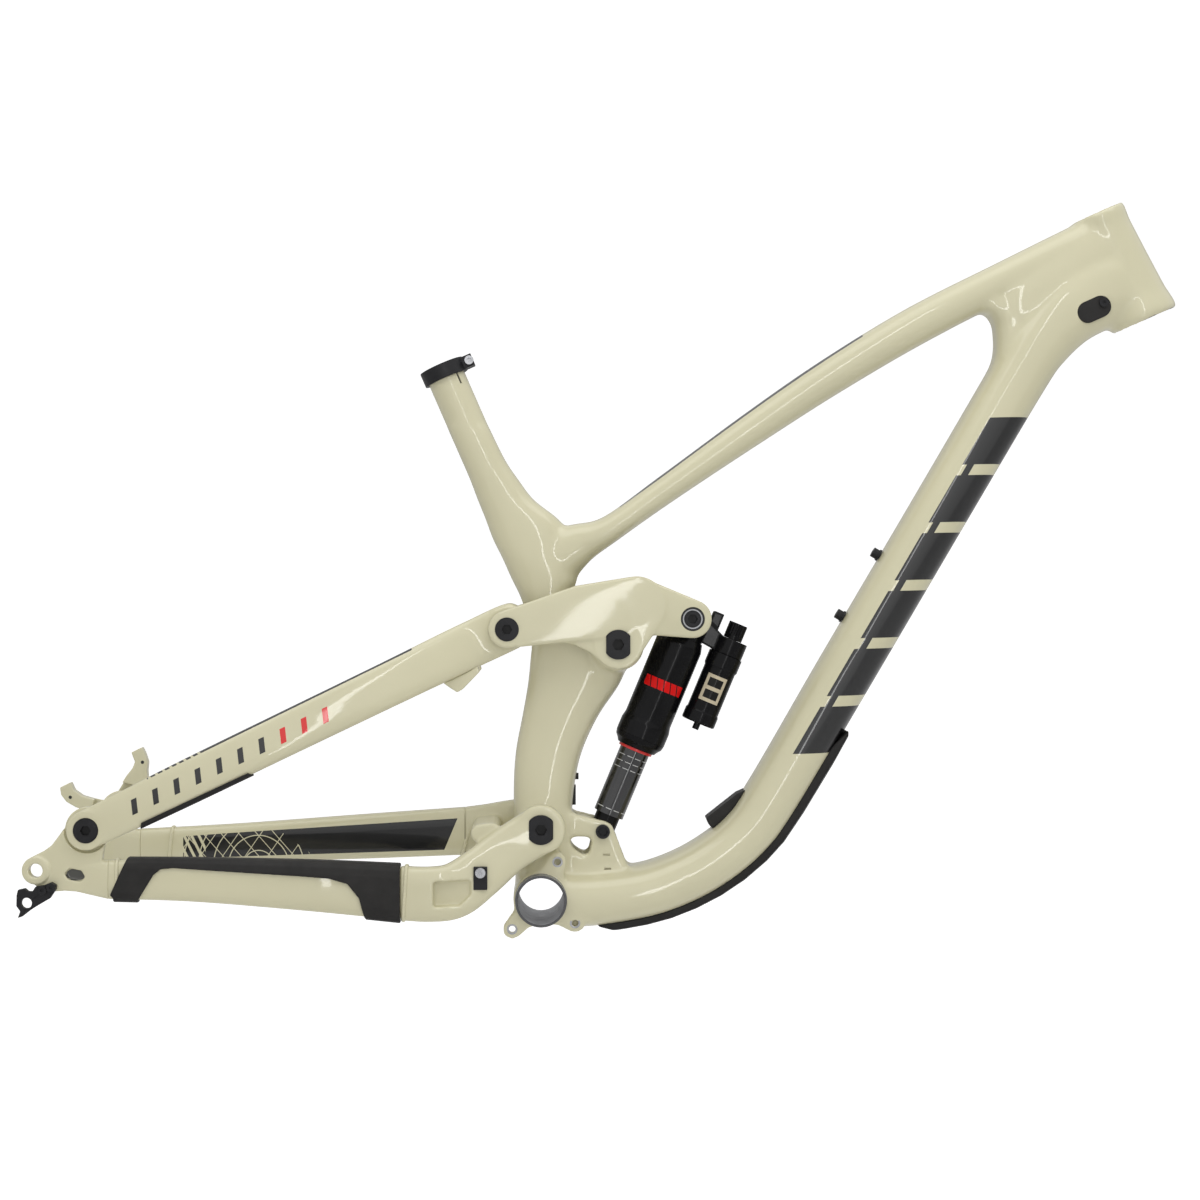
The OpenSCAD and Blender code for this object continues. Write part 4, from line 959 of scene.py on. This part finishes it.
# ---------------------------------------------------------------- operators
class FRAME_OT_finishes(bpy.types.Operator):
    """Make the paints, rubbers and metals"""

    bl_idname = "frame_look.finishes"
    bl_label = "Make finishes"

    def execute(self, context):
        for make in MAKERS:
            shader = Shader(make.__name__)
            make(shader, context.scene.frame_finish)
            MATERIALS[make.__name__] = shader.material
        return {"FINISHED"}


def bar_cut(p, radius, y0, y1, sides=96):
    return lambda bm: add_bar(bm, p, radius, y0, y1, sides)


def lathe_cut(origin, direction, profile):
    return lambda bm: add_lathe(bm, origin, direction, profile)


def plate_cut(outline, y0, y1):
    return lambda bm: add_plate(bm, outline, y0, y1)


def shift(origin, *points):
    return [(origin[0] + x, origin[1] + z) for x, z in points]


def port_outline(grow):
    """The oval of the cable ports on the head tube."""
    centre = HEAD_MID + Vector((-37, -27))
    lean = way(24)
    side = Vector((-lean.y, lean.x))
    radius = 9.5 + grow
    points = []
    for cos, sin in circle(64):
        p = centre + lean * (math.copysign(6, cos) + radius * cos) + side * radius * sin
        points.append((p.x, p.y))
    return points


def front_fill(bm):
    """The solids that melt into the front triangle."""
    add_sweep(bm, DOWN_TUBE, power=2.7)
    add_sweep(bm, TOP_TUBE, power=2.6)
    add_sweep(bm, GUSSET, power=3)
    arc = [(393.5, 524.8), (402.3, 521.5), (407, 512.7), (408.4, 495.2), (407, 482), (401.3, 467)]
    for inset, half in ((0, 11), (2, 15), (4.5, 18), (8, 20.5)):       # smooth corner under the top tube
        add_plate(bm, shift((inset, 0), *arc) + [(436, 467), (440, 534), (393.5 + inset, 534)], -half, half)
    add_sweep(bm, PILLAR, steps=4, power=2.7, turn=math.pi / 2)
    waist = (HEAD_TOP_D + HEAD_LOW_D) / 4 - 1.6
    add_lathe(bm, HEAD_LOW, HEAD_AXIS, [
        (0, HEAD_LOW_D / 2), (7, HEAD_LOW_D / 2), (22, HEAD_LOW_D / 2 - 2.5), (HEAD_LEN / 2, waist),
        (HEAD_LEN - 16, HEAD_TOP_D / 2 - 0.8), (HEAD_LEN - 6, HEAD_TOP_D / 2), (HEAD_LEN, HEAD_TOP_D / 2)])
    add_lathe(bm, SEAT_TOP, SEAT_AXIS, [(-66, SEAT_D / 2), (0, SEAT_D / 2)])
    add_bar(bm, MAIN, 21, -MAIN_BOSS_Y, MAIN_BOSS_Y)
    add_bar(bm, ROCK, 24, -ROCK_BOSS_Y, ROCK_BOSS_Y)
    add_bar(bm, BB, SLEEVE_R + 2, -BB_Y, BB_Y)
    for degrees in TAB_ANGLES:
        add_hull(bm, circle_points(TAB_R * way(degrees), 9.5, -BB_Y, -BB_Y + 6)
                 + circle_points(8 * way(degrees), 12, -BB_Y, -BB_Y + 6))
    for y0, y1 in both_sides(CHEEK_IN, CHEEK_OUT):
        add_plate(bm, [(10, 27), (10, 77), (26, 76)] + shift(EYE, (2, 9.5), (9, 5.5)) + [
            (80, 22), (70, 8), (20, 8)], y0, y1)
        add_bar(bm, EYE, 9.7, y0, y1)


def slot_cut(bm):
    """The seat tube's slot, which faces forward and to the drive side."""
    up = Vector(in_space(SEAT_AXIS))
    lean = math.radians(53)
    out = math.cos(lean) * Vector((up.z, 0, -up.x)) + math.sin(lean) * Vector((0, -1, 0))
    across = up.cross(out)
    mouth = Vector(in_space(SEAT_TOP))
    add_hull(bm, [mouth + a * up + b * out + c * across for a in (-22, 1) for b in (0, 35) for c in (-1, 1)])


class FRAME_OT_front(bpy.types.Operator):
    """Build the one-piece skin of the front triangle"""

    bl_idname = "frame_look.front"
    bl_label = "Front triangle"

    def execute(self, context):
        # Room for the shock's eye, and pockets in the ears, carved before the skin is smoothed.
        room = (circle_points(EYE, 13, -CHEEK_IN, CHEEK_IN)
                + circle_points(EYE + Vector((14, 34)), 16, -CHEEK_IN, CHEEK_IN))
        pocket = shift(EYE, (-29.5, -5.5), (-10, -5.5), (-12, -20), (-17, -21), (-27, -14))
        carve = [lambda bm: add_hull(bm, room)]
        carve += [plate_cut(pocket, y0, y1) for y0, y1 in both_sides(CHEEK_IN - 1, CHEEK_OUT + 1)]
        cutters = [
            lathe_cut(HEAD_LOW, HEAD_AXIS, [
                (-1, HEADSET_LOW_R), (HEADSET_DEPTH, HEADSET_LOW_R), (HEADSET_DEPTH, STEERER_LOW_R),
                (HEAD_LEN - HEADSET_DEPTH, STEERER_TOP_R), (HEAD_LEN - HEADSET_DEPTH, HEADSET_TOP_R),
                (HEAD_LEN + 1, HEADSET_TOP_R)]),
            lathe_cut(SEAT_TOP, SEAT_AXIS, [(-POST_DEPTH, POST_D / 2), (1, POST_D / 2)]),
            bar_cut(BB, SLEEVE_R, -92, 92),
            bar_cut(EYE, 4, -CHEEK_OUT - 1, CHEEK_OUT + 1),
        ]
        for p, y in ((MAIN, MAIN_BOSS_Y), (ROCK, ROCK_BOSS_Y)):
            cutters += [bar_cut(p, BEARING_R, y0, y1) for y0, y1 in both_sides(y - BEARING_WIDTH, y + 2)]
            cutters.append(bar_cut(p, 9.5, -y, y))
        cutters += [bar_cut(TAB_R * way(degrees), 3, -BB_Y - 1, -BB_Y + 7, 48) for degrees in TAB_ANGLES]
        for y0, y1 in both_sides(CHEEK_OUT - 2, CHEEK_OUT + 1):
            for p in ((58.3, 38.3), (59.3, 25.8)):
                cutters.append(plate_cut(shift(p, (-3, -1), (3, -1), (3, 1), (-3, 1)), y0, y1))
        cutters += [plate_cut(port_outline(0.15), y0, y1) for y0, y1 in both_sides(24, 33)]
        cutters.append(slot_cut)
        obj = moulded("front_shell", front_fill, shape().skin_voxel, shape().skin_rounds, cutters, carve)
        finish_piece(obj, "frame_front", "painted_carbon", "paint_front", "front_triangle")

        def rings(bm):
            for degrees in TAB_ANGLES:
                add_ring(bm, TAB_R * way(degrees), 4.6, 3.05, -BB_Y - 0.25, -BB_Y + 1)

        finish_piece(new_object("tab_inserts", rings), "frame_front", "bare_alloy", "bare_alloy")
        return {"FINISHED"}


def yoke_fill(bm):
    """The solids that melt into the yoke."""
    add_sweep(bm, RIGHT_ARM, first=0)
    add_sweep(bm, LEFT_ARM, first=0)
    for y0, y1 in both_sides(YOKE_IN, YOKE_OUT):
        add_bar(bm, MAIN, 21.5, y0, y1)
    add_hull(bm, circle_points(MAIN + Vector((-54, -4)), 8, -40, 40)
             + circle_points(MAIN + Vector((-43, -1.5)), 7, -40, 40))


def arm_pocket(bm):
    add_pill(bm, MAIN, YOKE_OUT - 3, YOKE_OUT + 6)


def beads(bm):
    """Weld beads round the chainstay tubes' ends: where, how it leans, and the tube's station there."""
    for x, lean, c in (
            (-119, 0.06, RIGHT_STAY[-1]), (-66, 0.30, LEFT_STAY[-1]),
            (-345, 0.10, (0, 35.4, 76, 34.6, 15.8)), (-366, 0.0, (0, 24, -77.3, 34.2, 15.3))):
        loop = [Vector((x + lean * (p.z - c[1]), p.y, p.z)) for p in ring_points(c, 0, 0.1, STAY_POWER, 96)]
        add_bead(bm, loop, shape().bead / MM)


class FRAME_OT_chainstays(bpy.types.Operator):
    """Build the yoke and both chainstay tubes"""

    bl_idname = "frame_look.chainstays"
    bl_label = "Chainstays"

    def execute(self, context):
        cutters = [
            bar_cut(MAIN, AXLE_R, -50, 50), arm_pocket, mirrored(arm_pocket),
            bar_cut(MAIN, 25, -YOKE_IN, YOKE_IN),
            plate_cut([(-59.1, 11.9), (-46.9, 11.9), (-46.9, 32.1), (-59.1, 32.1)], -60, -54),
        ]
        pocket = [(-94, 19.5), (-94, -2.6), (-71, -1.5), (-61.5, 8), (-61.5, 20.2)]
        yoke = moulded("yoke_shell", yoke_fill, shape().part_voxel, shape().part_rounds, cutters,
                       [plate_cut(pocket, -64, -54.5)])
        finish_piece(yoke, "swingarm", "painted_carbon", "paint_plain", "chainstay_yoke")
        for name, stations, paint in (
                ("right", RIGHT_STAY, "paint_plain"), ("left", LEFT_STAY, "paint_panel")):
            obj = new_object(f"stay_{name}_shell", lambda bm: add_sweep(bm, stations, steps=24, turn=0))
            finish_piece(obj, "swingarm", "painted_carbon", paint, f"chainstay_{name}")
        finish_piece(new_object("weld_beads", beads), "swingarm", "painted_carbon", "paint_plain", angle=60)
        return {"FINISHED"}


class FRAME_OT_seatstays(bpy.types.Operator):
    """Build both seatstays"""

    bl_idname = "frame_look.seatstays"
    bl_label = "Seatstays"

    def execute(self, context):
        for name, side in (("right", -1), ("left", 1)):
            def depths(y0, y1):
                return sorted((side * y0, side * y1))

            def fill(bm):
                add_sweep(bm, SEATSTAY, side=side)
                add_bar(bm, LOWER, 17.2, *depths(LOBE_IN, LOBE_OUT))
                add_bar(bm, UPPER, 19.5, *depths(STAY_END_IN, STAY_END_OUT))

            cutters = [bar_cut(p, radius, *depths(y0, y1)) for p, radius, y0, y1 in (
                (LOWER, 11, LOBE_IN + GAP, LOBE_OUT + 1), (LOWER, 7, LOBE_IN - 5, LOBE_OUT),
                (UPPER, 11, STAY_END_OUT - 10, STAY_END_OUT + 5), (UPPER, 7, STAY_END_IN - 5, STAY_END_OUT))]
            obj = moulded(f"seatstay_{name}_shell", fill, shape().part_voxel, 6, cutters)
            finish_piece(obj, "seatstays", "painted_carbon", "paint_stay", f"seatstay_{name}")
        return {"FINISHED"}


def rocker_fill(bm):
    """The solids that melt into the left rocker arm, and the web behind its main pivot."""
    crown = ROCK + Vector((16.5, 34.3))
    add_hull(bm, circle_points(UPPER, 16.5, TAIL_IN, TAIL_OUT)
             + circle_points(ROCK + Vector((-35.5, 42)), 10, ROCKER_IN + 4, ROCKER_OUT + 0.5)
             + circle_points(crown, 26, ROCKER_IN, ROCKER_OUT - 1))
    add_hull(bm, circle_points(crown, 26, ROCKER_IN, ROCKER_OUT - 1)
             + circle_points(ROCK, 21.5, ROCKER_IN, ROCKER_OUT))
    add_hull(bm, circle_points(crown, 25, ROCKER_IN, ROCKER_OUT - 1.5)
             + circle_points(TRUNNION, 17, ROCKER_IN, NOSE_OUT))
    add_bar(bm, TRUNNION, 16.5, NOSE_IN, ROCKER_IN + 1)
    add_plate(bm, [
        (-12, 232), (-7, 227), (10.6, 229.1), (28.6, 226.4), (42.1, 219.7), (52, 211.5), (66, 226),
        (66, 250), (20, 254)], ROCKER_IN + 0.2, ROCKER_OUT - 0.6)


class FRAME_OT_rockers(bpy.types.Operator):
    """Build both rocker arms"""

    bl_idname = "frame_look.rockers"
    bl_label = "Rockers"

    def execute(self, context):
        cutters = [
            bar_cut(UPPER, 27.5, 0, TAIL_IN), bar_cut(UPPER, 10.5, TAIL_OUT - 5, TAIL_OUT + 5),
            bar_cut(UPPER, 6, 0, TAIL_OUT), bar_cut(ROCK, AXLE_R, 0, ROCKER_OUT + 1),
            lambda bm: add_pill(bm, ROCK, ROCKER_OUT - 3, ROCKER_OUT + 5),
            bar_cut(TRUNNION, 10.7, NOSE_IN + 2, NOSE_OUT + 3), bar_cut(TRUNNION, 6.4, 0, NOSE_OUT),
        ]
        for name, turn in (("left", lambda fill: fill), ("right", mirrored)):
            obj = moulded(f"rocker_{name}_shell", turn(rocker_fill), shape().part_voxel, shape().part_rounds,
                          [turn(fill) for fill in cutters])
            finish_piece(obj, "rocker", "painted_carbon", "paint_plain", f"rocker_{name}")
        return {"FINISHED"}


# Node, body, slot, material, voxel in millimetres, rounds of smoothing
SOFT_PARTS = (
    ("reservoir_bridge", "shock_body", "shock_black", "gloss_black", 0.6, 4),
    ("cable_clamp", "swingarm", "black_hardware", "black_metal", 0.4, 3),
    ("dropout_right", "swingarm", "painted_carbon", "paint_mount", 0.8, 4),
    ("dropout_left", "swingarm", "painted_carbon", "paint_plain", 0.8, 4),
    ("seatstay_bridge", "seatstays", "painted_carbon", "paint_plain", 0.8, 6),
    ("brake_mount", "seatstays", "painted_carbon", "paint_mount", 0.7, 5),
    ("down_tube_guard", "frame_front", "guard_rubber", "guard_rubber", 0.8, 6),
    ("chainstay_guard", "swingarm", "guard_rubber", "guard_rubber", 0.6, 4),
    ("seatstay_guard", "seatstays", "guard_rubber", "guard_rubber", 0.5, 3),
    ("head_port_covers", "frame_front", "guard_rubber", "guard_rubber", 0.45, 6),
    ("down_tube_port_cover", "frame_front", "guard_rubber", "guard_rubber", 0.6, 6),
)


class FRAME_OT_soft_parts(bpy.types.Operator):
    """Make the forged and moulded parts again with melted edges"""

    bl_idname = "frame_look.soft_parts"
    bl_label = "Forged and moulded parts"

    def execute(self, context):
        for node, body, slot, material, voxel, rounds in SOFT_PARTS:
            finish_piece(softened(node, voxel, rounds), body, slot, material, node, angle=50)
        return {"FINISHED"}


NODE_FINISH = {
    "black_metal": [
        "seat_clamp", "shock_lower_bolt", "bottle_cage_bolts", "head_port_screws", "seat_tube_grommets",
        "derailleur_hanger", "main_pivot_caps", "rocker_pivot_caps", "lower_stay_bolts",
        "upper_stay_bolts", "trunnion_bolts", "hanger_bolts"],
    "gloss_black": [
        "shock_head", "seal_head", "reservoir_valve", "air_valve_cap", "compression_dial", "shock_eyelet"],
    "can_black": ["air_can"],
    "reservoir_black": ["reservoir"],
    "shaft_black": ["shock_shaft"],
    "red_metal": ["travel_ring"],
    "ground_steel": [
        "seat_clamp_bolt", "main_pivot_bearings", "rocker_pivot_bearings", "cable_clamp_bolt",
        "main_pivot_axle", "lower_stay_bearings", "upper_stay_bearings", "rocker_pivot_axle", "damper_rod"],
    "bearing_ring": ["trunnion_bearings"],
    "bare_alloy": ["bb_shell", "upper_stay_sleeves", "damper_piston", "air_piston", "eyelet_bushing"],
}


class FRAME_OT_hardware(bpy.types.Operator):
    """Give the carried-over CAD parts their finish and broken edges"""

    bl_idname = "frame_look.hardware"
    bl_label = "Hardware"

    def execute(self, context):
        for material, names in NODE_FINISH.items():
            for name in names:
                obj = NODES[name]
                if not obj.material_slots:
                    obj.data.materials.append(MATERIALS[material])
                for slot in obj.material_slots:
                    slot.material = MATERIALS[material]
                weld = obj.modifiers.new("Weld", "WELD")
                weld.merge_threshold = 1e-6
                edge = obj.modifiers.new("Edges", "BEVEL")
                edge.limit_method = "ANGLE"
                edge.angle_limit = math.radians(38)
                edge.width = shape().edge
                edge.segments = 2
                edge.use_clamp_overlap = True
                obj.modifiers.new("Even", "WEIGHTED_NORMAL").keep_sharp = True
        return {"FINISHED"}


def place_camera(scene, studio):
    """The camera, with its view shifted so that the photograph's centre stays where it was cropped."""
    data = bpy.data.cameras.new("camera")
    data.sensor_width = SENSOR
    data.sensor_fit = "HORIZONTAL"
    data.lens = studio.focal / IMAGE_SIZE * SENSOR
    data.shift_x = (IMAGE_SIZE / 2 - OPTICAL_CENTRE[0]) / IMAGE_SIZE
    data.shift_y = -(IMAGE_SIZE / 2 - OPTICAL_CENTRE[1]) / IMAGE_SIZE
    data.clip_end = 60
    camera = in_scene("camera", data)
    camera.location = (0, -studio.distance, studio.height)
    camera.rotation_euler = (math.pi / 2, 0, 0)
    scene.camera = camera


def make_world(scene, studio):
    """White surroundings: full white where seen or mirrored, dimmer as a light."""
    world = bpy.data.worlds.new("surroundings")
    world.use_nodes = True
    tree = world.node_tree
    background = tree.nodes["Background"]
    background.inputs["Color"].default_value = (1, 1, 1, 1)
    rays = tree.nodes.new("ShaderNodeLightPath")
    white = rays.outputs["Is Camera Ray"]
    for ray in ("Is Transmission Ray", "Is Glossy Ray"):
        either = tree.nodes.new("ShaderNodeMath")
        either.operation = "MAXIMUM"
        tree.links.new(white, either.inputs[0])
        tree.links.new(rays.outputs[ray], either.inputs[1])
        white = either.outputs[0]
    strength = tree.nodes.new("ShaderNodeMapRange")
    strength.inputs["To Min"].default_value = studio.sky
    strength.inputs["To Max"].default_value = 1.0
    tree.links.new(white, strength.inputs["Value"])
    tree.links.new(strength.outputs[0], background.inputs["Strength"])
    scene.world = world


def make_floor(studio):
    """A white floor that curves up behind, and glows a little for the camera."""
    bm = bmesh.new()
    rows = [(-6, 0), (4, 0), (5.2, 0.16), (6.0, 0.6), (6.4, 1.4), (6.5, 6)]
    made = [[bm.verts.new((x, y, studio.floor + z)) for x in (-9, 9)] for y, z in rows]
    for low, high in zip(made, made[1:]):
        bm.faces.new((low[0], low[1], high[1], high[0]))
    mesh = bpy.data.meshes.new("floor")
    bm.to_mesh(mesh)
    bm.free()
    shader = Shader("floor_white")
    shader.done(shader.mix(shader.noise(1.5, 2), (0.93, 0.93, 0.93, 1), (0.96, 0.96, 0.96, 1)), 0.9)
    white = Value(shader, shader.bsdf.outputs[0])
    glow = shader.node("ShaderNodeEmission", ((1, 1, 1, 1), 0.55))
    seen = shader.node("ShaderNodeLightPath", (), "Is Camera Ray")
    bright = shader.node("ShaderNodeAddShader", (white, glow))
    look = shader.node("ShaderNodeMixShader", (seen, white, bright))
    shader.link(look, shader.nodes["Material Output"].inputs["Surface"])
    mesh.materials.append(shader.material)
    in_scene("floor", mesh)


class FRAME_OT_studio(bpy.types.Operator):
    """Set the camera, the lights and the floor"""

    bl_idname = "frame_look.studio"
    bl_label = "Studio"

    def execute(self, context):
        studio = context.scene.frame_studio
        place_camera(context.scene, studio)
        make_world(context.scene, studio)
        for name, place, aim, size, power in (
            ("key", (0.2, -0.9, 2.3), (0, 0, 0.3), (3.2, 2.0), studio.key),
            ("fill", (-0.6, -3.4, 1.6), (0, 0, 0.25), (5.0, 3.2), studio.fill),
            ("strip", (0.35, -2.7, 0.75), (0.05, 0, 0.25), (0.10, 2.2), studio.strip),
        ):
            lamp = bpy.data.lights.new(name, "AREA")
            lamp.shape = "RECTANGLE"
            lamp.size, lamp.size_y = size
            lamp.energy = power
            obj = in_scene(name, lamp)
            obj.location = place
            obj.rotation_euler = (Vector(aim) - Vector(place)).to_track_quat("-Z", "Y").to_euler()
        make_floor(studio)
        context.scene.view_settings.view_transform = "Standard"
        return {"FINISHED"}


class FRAME_PT_panel(bpy.types.Panel):
    """Lists the steps in the sidebar"""

    bl_idname = "FRAME_PT_panel"
    bl_label = "Bicycle frame"
    bl_space_type = "VIEW_3D"
    bl_region_type = "UI"
    bl_category = "Frame"

    def draw(self, context):
        for group in ("frame_finish", "frame_shape", "frame_studio"):
            settings = getattr(context.scene, group)
            box = self.layout.box()
            for name in settings.__annotations__:
                box.prop(settings, name)
        for step in STEPS:
            self.layout.operator(step.bl_idname)


STEPS = (
    FRAME_OT_studio, FRAME_OT_finishes, FRAME_OT_front, FRAME_OT_chainstays, FRAME_OT_seatstays,
    FRAME_OT_rockers, FRAME_OT_soft_parts, FRAME_OT_hardware,
)
CLASSES = (FrameFinish, FrameShape, FrameStudio) + STEPS + (FRAME_PT_panel,)


def register():
    for cls in CLASSES:
        bpy.utils.register_class(cls)
    bpy.types.Scene.frame_finish = PointerProperty(type=FrameFinish)
    bpy.types.Scene.frame_shape = PointerProperty(type=FrameShape)
    bpy.types.Scene.frame_studio = PointerProperty(type=FrameStudio)


def unregister():
    del bpy.types.Scene.frame_studio
    del bpy.types.Scene.frame_shape
    del bpy.types.Scene.frame_finish
    for cls in reversed(CLASSES):
        bpy.utils.unregister_class(cls)


def main():
    register()
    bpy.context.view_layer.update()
    for step in STEPS:
        group, name = step.bl_idname.split(".")
        getattr(getattr(bpy.ops, group), name)()
    bpy.context.view_layer.update()


if __name__ == "__main__":
    main()
